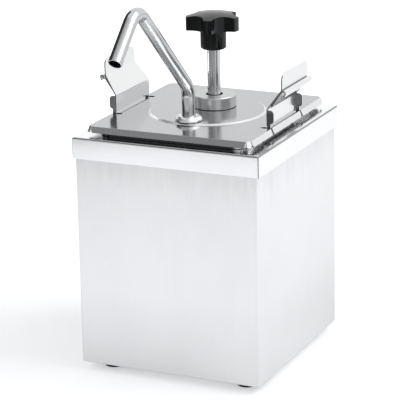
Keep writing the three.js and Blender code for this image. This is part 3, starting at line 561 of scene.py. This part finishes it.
def rim_edge(finish, tone):
    """The edge of the pan's rim: painted light along the sides, painted shade in front and at the rear."""
    low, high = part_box("inset_pan")
    half_x, half_y = halves(low, high)
    from_middle = finish.vector("SUBTRACT", finish.place, (*middle(low, high), 0))
    x, y, _ = finish.axes(finish.vector("ABSOLUTE", from_middle))
    beside = finish.ranged(x, half_x - 0.0018, half_x - 0.0010)
    ahead = finish.ranged(y, half_y - 0.0018, half_y - 0.0010)
    return finish.mixed(ahead, finish.mixed(beside, tone, colour_of("bright")), colour_of("rim"))


def side_flanges(finish, tone):
    """Painted light on the lid's flanges along its left and right sides."""
    share = finish.ranged(finish.directions()["X"], 0.80, 0.90)
    return finish.mixed(share, tone, colour_of("flange"))


def cut_edges(finish, tone):
    """Painted shade on the faces of the latches that look along Y, such as their cut edges."""
    share = finish.ranged(finish.directions()["Y"], 0.55, 0.85)
    return finish.mixed(share, tone, colour_of("latch_y_shade"))


def handled(finish, tone):
    """Painted shade under the top frame with a streaky edge, towards the foot and on the sides, and faint
    clouds of tone.
    """
    height = finish.axes(finish.place)["Z"]
    # Painted shadow under the top frame, with a streaky edge.
    streaks = finish.ranged(finish.noise(130, (1, 1, 0.10), 3.0, 0.6), 0.25, 0.75, 0.010, 0.045)
    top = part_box("housing_shell")[1].z - 0.018
    above = finish.plus(finish.combined("SUBTRACT", height, top), streaks)
    shade_under_band = finish.ranged(above, 0.0, 0.05, 0.0, 0.32)
    # Painted shade towards the foot.
    shade_at_foot = finish.ranged(height, 0.010, 0.085, 0.36, 0.0)
    clouds = finish.ranged(finish.noise(14, (1, 1, 0.5), 3.0), 0.35, 0.75, 0.0, 0.14)
    # Painted shade on the faces that look along X.
    on_side = finish.times(finish.directions()["X"], 0.15)
    share = finish.plus(finish.plus(finish.plus(shade_under_band, shade_at_foot), clouds), on_side)
    return finish.mixed(share, tone, shaded(finish.base, 0.62))


def polished_metal(name, base, roughness):
    """Polished metal with faint clouding and hair-fine scratches."""
    finish = Finish(name, base, 1.0, roughness)
    clouds = finish.noise(26)
    scratches = finish.noise(2400, detail=3.0, roughness=0.7)
    toned = finish.mixed(finish.ranged(clouds, 0.3, 0.7), shaded(base, 0.97), shaded(base, 1.02))
    worn = finish.mixed(finish.ranged(scratches, 0.62, 0.78, 0, 0.2), toned, shaded(base, 0.88))
    finish.drive("Base Color", worn)
    varied = finish.ranged(clouds, 0.3, 0.7, roughness * 0.85, roughness * 1.15)
    finish.drive("Roughness", finish.plus(varied, finish.ranged(scratches, 0.6, 0.8, 0, 0.04)))
    finish.relief(clouds, 0.02, 0.00002)
    return finish.material


def moulded_plastic(name, base, roughness, gloss=0.5, relief=0.08):
    """Moulded plastic or rubber with a fine grain, handling marks and paler rubbed spots."""
    finish = Finish(name, base, 0.0, roughness)
    grain = finish.noise(3200, detail=2.0)
    clouds = finish.noise(38)
    marks = finish.ranged(finish.noise(160, (1, 1, 0.3), 5.0, 0.65), 0.58, 0.72)
    toned = finish.mixed(finish.ranged(clouds, 0.3, 0.7), shaded(base, 0.85), shaded(base, 1.15))
    worn = finish.mixed(finish.times(marks, 0.25), toned, tuple(c * 1.5 + 0.004 for c in base))
    finish.drive("Base Color", worn)
    varied = finish.ranged(clouds, 0.3, 0.7, roughness * 0.85, roughness * 1.15)
    finish.drive("Roughness", finish.plus(varied, finish.times(marks, 0.06)))
    finish.surface.inputs["Specular IOR Level"].default_value = gloss
    finish.relief(grain, relief, 0.00005)
    return finish.material


EVEN = (1, 1, 1)
FINISHES = {
    "Brushed housing": (brushed_metal, "housing", 0.31, dict(marks=handled)),
    # Painted shade on the top frame's folds.
    "Brushed band": (brushed_metal, "band", 0.15, dict(relief=0.012, bent=(Finish.bends, "bend", 0.2))),
    # Painted light on the lid's side flanges and a painted highlight on its creases.
    "Smooth lid": (
        brushed_metal, "lid", 0.15,
        dict(
            grain=(1, 0.03, 1), contrast=0.02, relief=0.01,
            marks=side_flanges, bent=(creases, "flange", 0.38),
        ),
    ),
    "Brushed latch": (
        brushed_metal, "latch", 0.20, dict(grain=(1, 1, 0.02), contrast=0.02, relief=0.03, marks=cut_edges)
    ),
    "Polished tube": (polished_metal, "tube", 0.16, {}),
    "Bright fitting": (brushed_metal, "bright", 0.36, dict(grain=EVEN, contrast=0.03, relief=0.03)),
    "Satin fitting": (brushed_metal, "satin", 0.34, dict(grain=EVEN, contrast=0.04, relief=0.03)),
    "Drawn pan": (
        brushed_metal, "pan", 0.22,
        dict(grain=(1, 1, 0.05), contrast=0.03, relief=0.01, marks=rim_edge, gap=0.002),
    ),
    "Black knob": (moulded_plastic, "knob", 0.15, dict(gloss=0.27, relief=0.03)),
    "Black rubber": (moulded_plastic, "rubber", 0.62, dict(gloss=0.3, relief=0.25)),
    "White acetal": (moulded_plastic, "acetal", 0.42, {}),
    "Grey silicone": (moulded_plastic, "silicone", 0.55, {}),
}


def finish_named(name):
    """The finish of that name, made the first time that it is asked for."""
    if name in bpy.data.materials:
        return bpy.data.materials[name]
    maker, base, roughness, settings = FINISHES[name]
    return maker(name, colour_of(base), roughness, **settings)


# Pieces grown by node trees
def node_tree(name, inputs):
    """A node tree with named inputs, the sockets that give them, and the values to set on them."""
    tree = bpy.data.node_groups.new(name, "GeometryNodeTree")
    values = {}
    for label, kind, value in inputs:
        socket = tree.interface.new_socket(label, in_out="INPUT", socket_type="NodeSocket" + kind)
        if value is not None:
            socket.default_value = value
            values[socket.identifier] = value
    tree.interface.new_socket("Mesh", in_out="OUTPUT", socket_type="NodeSocketGeometry")
    return tree, add_node(tree, "NodeGroupInput").outputs, values


def grown(name, tree, geometry, finish, values, start=None):
    """The plain mesh of a tree that ends in the geometry; its inputs are set before it is evaluated."""
    real = add_node(tree, "GeometryNodeRealizeInstances", {"Geometry": geometry})
    inputs = {"Geometry": real.outputs["Geometry"], "Material": finish_named(finish)}
    painted = add_node(tree, "GeometryNodeSetMaterial", inputs)
    add_node(tree, "NodeGroupOutput", {"Mesh": painted.outputs["Geometry"]})
    piece = placed(name, start or bpy.data.meshes.new(name))
    modifier = piece.modifiers.new(name, "NODES")
    modifier.node_group = tree
    for identifier, value in values.items():
        modifier[identifier] = value
    return baked(piece)


def swept(tree, path, radius, sides, capped):
    """The mesh of a round section drawn along the path."""
    section = add_node(tree, "GeometryNodeCurvePrimitiveCircle", {"Resolution": sides, "Radius": radius})
    inputs = {"Curve": path, "Profile Curve": section.outputs["Curve"], "Fill Caps": capped}
    return add_node(tree, "GeometryNodeCurveToMesh", inputs).outputs["Mesh"]


def chosen(tree, kind, index, values):
    """The value with that index; None among the values stands for zero."""
    node = add_node(tree, "GeometryNodeIndexSwitch", data_type=kind)
    while len(node.index_switch_items) < len(values):
        node.index_switch_items.new()
    tree.links.new(index, node.inputs["Index"])
    for i, value in enumerate(values):
        if value is not None:
            tree.links.new(value, node.inputs[str(i)])
    return node.outputs["Output"]


def coiled(name, radius, wire, height, turns, finish):
    """A round wire wound up a helix."""
    tree, given, values = node_tree(name, (
        ("Coil radius", "Float", radius),
        ("Wire radius", "Float", wire),
        ("Height", "Float", height),
        ("Turns", "Float", turns),
    ))
    spiral = add_node(tree, "GeometryNodeCurveSpiral", {
        "Resolution": 36,
        "Start Radius": given["Coil radius"],
        "End Radius": given["Coil radius"],
        "Height": given["Height"],
        "Rotations": given["Turns"],
    })
    coil = swept(tree, spiral.outputs["Curve"], given["Wire radius"], 14, True)
    return welded(grown(name, tree, coil, finish, values))


def bent_tube(name, corners, bends, radius, finish):
    """A round tube along straight runs and round bends; its ends stay open."""
    labels = ("Foot", "Knee", "Crest", "Mouth")
    tree, given, values = node_tree(name, (
        *((label, "Vector", corner) for label, corner in zip(labels, corners)),
        ("Knee bend", "Float", bends[0]),
        ("Crest bend", "Float", bends[1]),
        ("Tube radius", "Float", radius),
    ))
    index = add_node(tree, "GeometryNodeInputIndex").outputs["Index"]
    place = chosen(tree, "VECTOR", index, [given[label] for label in labels])
    bend = chosen(tree, "FLOAT", index, [None, given["Knee bend"], given["Crest bend"], None])
    line = add_node(tree, "GeometryNodeMeshLine", {"Count": len(labels)})
    inputs = {"Geometry": line.outputs["Mesh"], "Position": place}
    moved = add_node(tree, "GeometryNodeSetPosition", inputs)
    path = add_node(tree, "GeometryNodeMeshToCurve", {"Mesh": moved.outputs["Geometry"]})
    inputs = {"Curve": path.outputs["Curve"], "Radius": bend}
    rounded = add_node(tree, "GeometryNodeFilletCurve", inputs, mode="POLY")
    rounded.inputs["Count"].default_value = 24
    tube = swept(tree, rounded.outputs["Curve"], given["Tube radius"], 128, False)
    return welded(grown(name, tree, tube, finish, values))


def repeated(name, master, centres, finish):
    """Copies of one piece, set out on the given places; the master is used up."""
    tree, given, values = node_tree(name, (("Places", "Geometry", None), ("Piece", "Object", master)))
    shape = add_node(tree, "GeometryNodeObjectInfo", {"Object": given["Piece"]})
    inputs = {"Points": given["Places"], "Instance": shape.outputs["Geometry"]}
    spread = add_node(tree, "GeometryNodeInstanceOnPoints", inputs)
    places = bpy.data.meshes.new(name)
    places.from_pydata([(x, y, 0) for x, y in centres], [], [])
    group = grown(name, tree, spread.outputs["Instances"], finish, values, places)
    bpy.data.objects.remove(master)
    return group


class DISPENSER_OT_housing(bpy.types.Operator):
    """Builds the folded housing, its base panel and the skirted top frame"""

    bl_idname = "dispenser.housing"
    bl_label = "Housing"

    def execute(self, context):
        sizes = context.scene.dispenser_sizes
        self.build_shell(sizes)
        self.build_top(sizes)
        dressed("Brushed housing", "base_panel")
        return {"FINISHED"}

    def build_shell(self, sizes):
        low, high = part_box("housing_shell")
        sheet, flange = sizes.sheet, sizes.base_flange
        profile = [
            (0, low.z, sizes.fold_radius),
            (0, high.z),
            (-sheet, high.z),
            (-sheet, low.z + sheet),
            (-flange, low.z + sheet),
            (-flange, low.z),
        ]
        loops = box_loops(profile, *halves(low, high), sizes.body_corner, middle(low, high), True)
        shell = smooth(lofted("housing_shell_looks", loops, True))
        finished(shell, "Brushed housing", "housing_shell")

    def build_top(self, sizes):
        low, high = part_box("top_frame")
        centre = middle(low, high)
        pan_x, pan_y = (half - sizes.rim_growth + sizes.opening_room for half in halves(*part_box("inset_pan")))
        sheet = sizes.sheet
        skirt = [
            (-sheet, high.z - sheet, 0),
            (-sheet, low.z),
            (0, low.z),
            (0, high.z, sizes.rim_fold),
            (-sheet * 6, high.z, 0),
        ]
        opening = [
            (sheet * 3, high.z, 0),
            (0, high.z, sizes.fold_radius),
            (0, high.z - sizes.opening_lip),
            (sheet, high.z - sizes.opening_lip),
            (sheet, high.z - sheet, 0),
        ]
        loops = box_loops(skirt, *halves(low, high), sizes.skirt_corner, centre, False)
        loops += box_loops(opening, pan_x, pan_y, sizes.pan_corner + sizes.opening_room, centre, False)
        finished(smooth(lofted("top_frame_looks", loops, True)), "Brushed band", "top_frame")


class DISPENSER_OT_feet(bpy.types.Operator):
    """Turns the rubber feet and sets a screw and a nut in each"""

    bl_idname = "dispenser.feet"
    bl_label = "Feet"

    def execute(self, context):
        sizes = context.scene.dispenser_sizes
        centres = [middle(*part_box("foot_" + place)) for place in FEET]
        masters = (
            ("foot", self.build_foot(sizes, centres[0]), "Black rubber"),
            ("foot_screw", refined("foot_screw_" + FEET[0], sizes.edge_radius), "Satin fitting"),
            ("foot_nut", refined("foot_nut_" + FEET[0], sizes.edge_radius), "Satin fitting"),
        )
        for kind, master, finish in masters:
            master.data.transform(Matrix.Translation((-centres[0][0], -centres[0][1], 0)))
            group = repeated(kind + "_set_looks", master, centres, finish)
            finished(group, finish, *(kind + "_" + place for place in FEET))
        return {"FINISHED"}

    def build_foot(self, sizes, centre):
        low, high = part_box("foot_" + FEET[0])
        top = halves(low, high)[0]
        bottom = top - sizes.foot_taper
        recess = halves(*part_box("foot_screw_" + FEET[0]))[0] + sizes.screw_room
        web = high.z - sizes.foot_web
        profile = [
            (recess, low.z),
            (bottom, low.z),
            (top, high.z),
            (sizes.screw_hole, high.z),
            (sizes.screw_hole, web),
            (recess, web),
        ]
        return smooth(turned("foot_master", profile, sizes.rubber_radius, centre))


class DISPENSER_OT_pan(bpy.types.Operator):
    """Draws the pan with its rounded floor and turned-down rim"""

    bl_idname = "dispenser.pan"
    bl_label = "Pan"

    def execute(self, context):
        sizes = context.scene.dispenser_sizes
        low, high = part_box("inset_pan")
        sheet, rim = sizes.pan_sheet, sizes.rim_growth
        half_x, half_y = (half - rim for half in halves(low, high))
        profile = [
            (-half_x / 2, low.z, 0),
            (0, low.z, sizes.pan_bottom),
            (0, high.z - sheet, sheet),
            (rim - sheet, high.z - sheet, sheet),
            (rim - sheet, high.z - sizes.rim_depth),
            (rim, high.z - sizes.rim_depth),
            (rim, high.z, sizes.fold_radius),
            (-sheet, high.z, sizes.fold_radius),
            (-sheet, low.z + sheet, sizes.pan_bottom - sheet),
            (-half_x / 2, low.z + sheet, 0),
        ]

        def shrunk(z):
            return 1 - DRAFT_SHARE * (high.z - z) / (high.z - low.z)

        centre = middle(low, high)
        loops = box_loops(profile, half_x, half_y, sizes.pan_corner, centre, False, sizes.pan_steps, shrunk)
        finished(smooth(lofted("inset_pan_looks", loops, False)), "Drawn pan", "inset_pan")
        return {"FINISHED"}


class DISPENSER_OT_lid(bpy.types.Operator):
    """Softens the folds and cut edges of the lid and fits its hinge barrels and pins"""

    bl_idname = "dispenser.lid"
    bl_label = "Lid"

    def execute(self, context):
        sizes = context.scene.dispenser_sizes
        lid = refined("lid_plate", sizes.lid_edge, self.folds(sizes), sizes.fold_radius, 3)
        finished(lid, "Smooth lid", "lid_plate")
        for side in ("right", "left"):
            dressed("Satin fitting", "hinge_barrel_" + side, "hinge_pin_" + side)
        return {"FINISHED"}

    def folds(self, sizes):
        """Tells whether an edge lies on the fold that runs round the lid's flat top."""
        low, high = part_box("lid_plate")
        centre = middle(low, high)
        half_x, half_y = high.x - centre[0], high.y - centre[1]
        top = high.z - sizes.disc_rise
        flat, edge_room, corner_room = 0.0001, 0.0035, 0.0105

        def on_rim(point):
            x, y = abs(point.x - centre[0]), abs(point.y - centre[1])
            on_side = x > half_x - edge_room or y > half_y - edge_room
            return abs(point.z - top) < flat and (on_side or x + y > half_x + half_y - corner_room)

        return lambda edge: all(on_rim(vert.co) for vert in edge.verts)


class DISPENSER_OT_latches(bpy.types.Operator):
    """Softens the folded latch levers and the curled grips on them"""

    bl_idname = "dispenser.latches"
    bl_label = "Latches"

    def execute(self, context):
        for side in ("right", "left"):
            dressed("Brushed latch", "latch_lever_" + side, "latch_grip_" + side)
        return {"FINISHED"}


class DISPENSER_OT_pump(bpy.types.Operator):
    """Builds the pump's cap, cylinder, fittings and valves"""

    bl_idname = "dispenser.pump"
    bl_label = "Pump"

    def execute(self, context):
        self.build_cap(context.scene.dispenser_sizes)
        dressed("Satin fitting", "pump_cylinder", "inlet_ball", "outlet_ball", "spring_seat")
        dressed("White acetal", "rod_bush", "inlet_valve_body", "pump_foot", "outlet_valve_seat")
        dressed("Grey silicone", "pump_gasket")
        return {"FINISHED"}

    def build_cap(self, sizes):
        low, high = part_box("cylinder_cap")
        outer = halves(low, high)[0]
        bore, hole = sizes.cap_bore, sizes.cap_hole
        foot_edge, top_edge, hole_edge = 0.0004, 0.0011, 0.0005
        profile = [
            (bore, low.z),
            (outer, low.z, foot_edge),
            (outer, high.z, top_edge),
            (hole, high.z, hole_edge),
            (hole, high.z - sizes.cap_roof),
            (bore, high.z - sizes.cap_roof),
        ]
        cap = turned("cylinder_cap_looks", profile, sizes.edge_radius, middle(low, high))
        finished(smooth(cap), "Satin fitting", "cylinder_cap")


class DISPENSER_OT_plunger(bpy.types.Operator):
    """Builds the rod, the star knob, the piston and the return spring"""

    bl_idname = "dispenser.plunger"
    bl_label = "Plunger"

    def execute(self, context):
        sizes = context.scene.dispenser_sizes
        low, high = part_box("plunger_rod")
        outer = halves(low, high)[0]
        inner = outer - sizes.rod_wall
        profile = [(inner, low.z), (outer, low.z), (outer, high.z), (inner, high.z)]
        rod = turned("plunger_rod_looks", profile, sizes.edge_radius, middle(low, high))
        finished(smooth(rod), "Polished tube", "plunger_rod")
        finished(refined("star_knob", sizes.moulded_radius, steps=3), "Black knob", "star_knob")
        dressed("Polished tube", "knob_stud")
        dressed("White acetal", "piston_head")
        dressed("Grey silicone", "piston_seal")
        self.build_spring(sizes)
        return {"FINISHED"}

    def build_spring(self, sizes):
        low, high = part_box("return_spring")
        wire, turns, finish = sizes.spring_wire, 8.0, "Polished tube"
        radius = halves(low, high)[0] - wire
        spring = coiled("return_spring_looks", radius, wire, high.z - low.z - 2 * wire, turns, finish)
        spring.data.transform(Matrix.Translation((*middle(low, high), low.z + wire)))
        smooth(spring, 60)
        finished(spring, finish, "return_spring")
        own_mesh(spring)


class DISPENSER_OT_spout(bpy.types.Operator):
    """Bends the discharge spout and builds the fittings under it"""

    bl_idname = "dispenser.spout"
    bl_label = "Spout"

    def execute(self, context):
        sizes = context.scene.dispenser_sizes
        finished(self.build_tube(sizes), "Polished tube", "discharge_spout")
        finished(self.build_ferrule(sizes), "Bright fitting", "spout_ferrule")
        dressed("Satin fitting", "spout_nut")
        dressed("Polished tube", "discharge_pipe")
        return {"FINISHED"}

    def build_ferrule(self, sizes):
        low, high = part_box("spout_ferrule")
        outer, inner, edge = sizes.ferrule_radius, sizes.ferrule_top, sizes.ferrule_edge
        foot_edge, dome_steps = 0.0004, 8
        rise = sizes.ferrule_height - edge
        profile = [(sizes.ferrule_bore, low.z), (outer, low.z), (outer, low.z + edge, foot_edge)]
        for step in range(1, dome_steps + 1):
            turn = QUARTER_TURN * step / dome_steps
            reach = inner + (outer - inner) * math.cos(turn)
            profile.append((reach, low.z + edge + rise * math.sin(turn), 0))
        profile.append((sizes.ferrule_bore, low.z + sizes.ferrule_height))
        return smooth(turned("spout_ferrule_looks", profile, sizes.edge_radius, middle(low, high)))

    def build_tube(self, sizes):
        low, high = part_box("discharge_spout")
        x, y = middle(*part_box("spout_ferrule"))
        lid_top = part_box("lid_plate")[1].z
        foot = Vector((x, y, low.z))
        knee = Vector((x, y, lid_top + sizes.knee_height))
        rise = Vector((0, -math.cos(sizes.climb_angle), math.sin(sizes.climb_angle)))
        drop = Vector((0, -math.cos(sizes.fall_angle), -math.sin(sizes.fall_angle)))
        crest = knee + rise * sizes.climb
        corners = (foot, knee, crest, crest + drop * sizes.fall)
        bends = (sizes.knee_bend, sizes.crest_bend)
        tube = bent_tube("discharge_spout_looks", corners, bends, halves(low, high)[0], "Polished tube")
        wall = tube.modifiers.new("Wall", "SOLIDIFY")
        wall.thickness = sizes.tube_wall
        wall.offset = -1
        rim = tube.modifiers.new("Rims", "BEVEL")
        rim.limit_method = "ANGLE"
        rim.angle_limit = math.radians(60)
        rim.width = sizes.edge_radius
        rim.segments = 2
        return smooth(fitted(baked(tube), "discharge_spout"))


class DISPENSER_OT_stage(bpy.types.Operator):
    """Sets up the floor, the soft studio light and the camera"""

    bl_idname = "dispenser.stage"
    bl_label = "Stage"

    def execute(self, context):
        stage = context.scene.dispenser_stage
        self.build_floor(stage)
        self.build_sky(context.scene, stage)
        for name, heading, height, strength in PANELS:
            self.build_panel(stage, name, heading, height, strength)
        self.build_reflected_shade(stage)
        self.build_lamp("Key lamp", KEY_PLACE, stage.key_power)
        fill = self.build_lamp("Fill lamp", FILL_PLACE, stage.fill_power)
        fill.visible_glossy = False
        self.build_camera(context.scene, stage)
        context.scene.view_settings.view_transform = "Standard"
        return {"FINISHED"}

    def build_floor(self, stage):
        """A pale floor that whitens with distance where the camera sees it."""
        reach = stage.floor_reach
        bm = bmesh.new()
        ends = ((-reach, -reach), (reach, -reach), (reach, reach), (-reach, reach))
        bm.faces.new([bm.verts.new((x, y, 0)) for x, y in ends])
        floor = mesh_object("Floor", bm)
        finish = Finish("Pale floor", colour_of("floor"), 0.0, 0.9)
        finish.surface.inputs["Specular IOR Level"].default_value = 0.1
        rays = finish.node("ShaderNodeLightPath").outputs
        mirrored = finish.combined("MAXIMUM", rays["Is Glossy Ray"], rays["Is Transmission Ray"])
        distance = finish.vector("LENGTH", finish.place)
        whitening = finish.ranged(distance, stage.glow_near, stage.glow_far, stage.floor_glow, 1.0)
        strength = finish.times(rays["Is Camera Ray"], whitening)
        strength = finish.plus(strength, finish.times(mirrored, stage.floor_sheen))
        shaders = {0: finish.surface.outputs[0], 1: finish.glow(strength)}
        finish.show(finish.node("ShaderNodeAddShader", shaders).outputs[0])
        floor.data.materials.append(finish.material)

    def build_panel(self, stage, name, heading, height, strength):
        """A grey panel of the studio, curved round the object; it glows and shows only in reflections, as a
        painted reflection.
        """
        reach = stage.panel_reach
        low, high = height
        levels = [math.radians(low + (high - low) * step / PANEL_STEPS) for step in range(PANEL_STEPS + 1)]
        rims = [(reach * math.cos(pitch), PANEL_MIDDLE + reach * math.sin(pitch)) for pitch in levels]
        self.build_sector(name, heading, rims, strength)

    def build_reflected_shade(self, stage):
        """A grey sheet just over the floor to the left and in front; it glows and shows only in reflections, as
        a painted reflection of a darker floor.
        """
        rims = [(stage.reflected_shade_near, REFLECTED_SHADE_RISE), (stage.reflected_shade_far, REFLECTED_SHADE_RISE)]
        self.build_sector("Grey cloth", REFLECTED_SHADE_HEADING, rims, stage.reflected_shade_tone)

    def build_sector(self, name, heading, rims, strength):
        """A glowing sheet through arcs about the upright axis, seen only in reflections."""
        start, end = heading
        steps = range(SECTOR_STEPS + 1)
        turns = [math.radians(start + (end - start) * step / SECTOR_STEPS) for step in steps]
        bm = bmesh.new()
        rows = []
        for flat, rise in rims:
            points = ((flat * math.cos(turn), flat * math.sin(turn), rise) for turn in turns)
            rows.append([bm.verts.new(point) for point in points])
        for lower, upper in zip(rows, rows[1:]):
            for i in range(SECTOR_STEPS):
                bm.faces.new((lower[i], lower[i + 1], upper[i + 1], upper[i]))
        panel = mesh_object(name, bm)
        finish = Finish(name, (strength,) * 3, 0.0, 1.0)
        finish.show(finish.glow(strength))
        panel.data.materials.append(finish.material)
        panel.visible_camera = False
        panel.visible_diffuse = False
        panel.visible_shadow = False

    def build_sky(self, scene, stage):
        """An even light that shows as plain white to the camera and in reflections."""
        scene.world = bpy.data.worlds.new("Studio sky")
        scene.world.use_nodes = True
        tree = scene.world.node_tree
        even = tree.nodes["Background"]
        even.inputs["Color"].default_value = SKY_TINT
        even.inputs["Strength"].default_value = stage.sky_light
        white = add_node(tree, "ShaderNodeBackground", {"Color": WHITE, "Strength": 1})
        rays = add_node(tree, "ShaderNodeLightPath").outputs
        seen = rays["Is Camera Ray"]
        for kind in ("Is Glossy Ray", "Is Transmission Ray"):
            seen = add_node(tree, "ShaderNodeMath", {0: seen, 1: rays[kind]}, operation="MAXIMUM").outputs[0]
        mix = add_node(tree, "ShaderNodeMixShader", {0: seen, 1: even.outputs[0], 2: white.outputs[0]})
        tree.links.new(mix.outputs[0], tree.nodes["World Output"].inputs["Surface"])

    def build_lamp(self, name, place, power):
        light = bpy.data.lights.new(name, "AREA")
        light.shape = "RECTANGLE"
        light.size = light.size_y = LAMP_SIDE
        light.energy = power
        lamp = placed(name, light)
        lamp.location = place
        aim = Vector(LAMP_AIM) - Vector(place)
        lamp.rotation_euler = aim.to_track_quat("-Z", "Y").to_euler()
        return lamp

    def build_camera(self, scene, stage):
        data = bpy.data.cameras.new("Camera")
        data.sensor_width = 36
        data.lens = stage.lens
        data.clip_end = 40
        camera = placed("Camera", data)
        turn = Matrix.Rotation(stage.camera_heading, 4, "Z")
        turn = turn @ Matrix.Rotation(QUARTER_TURN + stage.camera_pitch, 4, "X")
        turn = turn @ Matrix.Rotation(stage.camera_roll, 4, "Z")
        camera.matrix_world = Matrix.Translation(stage.camera_place) @ turn
        scene.camera = camera


class DISPENSER_PT_panel(bpy.types.Panel):
    """Sizes, colours and build steps of the dispenser."""

    bl_idname = "DISPENSER_PT_panel"
    bl_label = "Condiment Dispenser"
    bl_space_type = "VIEW_3D"
    bl_region_type = "UI"
    bl_category = "Dispenser"

    def draw(self, context):
        scene = context.scene
        for group in (scene.dispenser_sizes, scene.dispenser_colours, scene.dispenser_stage):
            box = self.layout.box()
            for name in group.bl_rna.properties.keys():
                if name not in ("rna_type", "name"):
                    box.prop(group, name)
        for step in STEPS:
            self.layout.operator(step.bl_idname)


GROUPS = (DispenserSizes, DispenserColours, DispenserStage)
STEPS = (
    DISPENSER_OT_housing,
    DISPENSER_OT_feet,
    DISPENSER_OT_pan,
    DISPENSER_OT_lid,
    DISPENSER_OT_latches,
    DISPENSER_OT_pump,
    DISPENSER_OT_plunger,
    DISPENSER_OT_spout,
    DISPENSER_OT_stage,
)


def register():
    for kind in (*GROUPS, *STEPS, DISPENSER_PT_panel):
        bpy.utils.register_class(kind)
    bpy.types.Scene.dispenser_sizes = PointerProperty(type=DispenserSizes)
    bpy.types.Scene.dispenser_colours = PointerProperty(type=DispenserColours)
    bpy.types.Scene.dispenser_stage = PointerProperty(type=DispenserStage)


def unregister():
    for name in ("dispenser_sizes", "dispenser_colours", "dispenser_stage"):
        delattr(bpy.types.Scene, name)
    for kind in reversed((*GROUPS, *STEPS, DISPENSER_PT_panel)):
        bpy.utils.unregister_class(kind)


def main():
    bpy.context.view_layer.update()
    register()
    for step in STEPS:
        group, name = step.bl_idname.split(".")
        if getattr(getattr(bpy.ops, group), name)() != {"FINISHED"}:
            raise RuntimeError(step.bl_label + " was not built")
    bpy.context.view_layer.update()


if __name__ == "__main__":
    main()
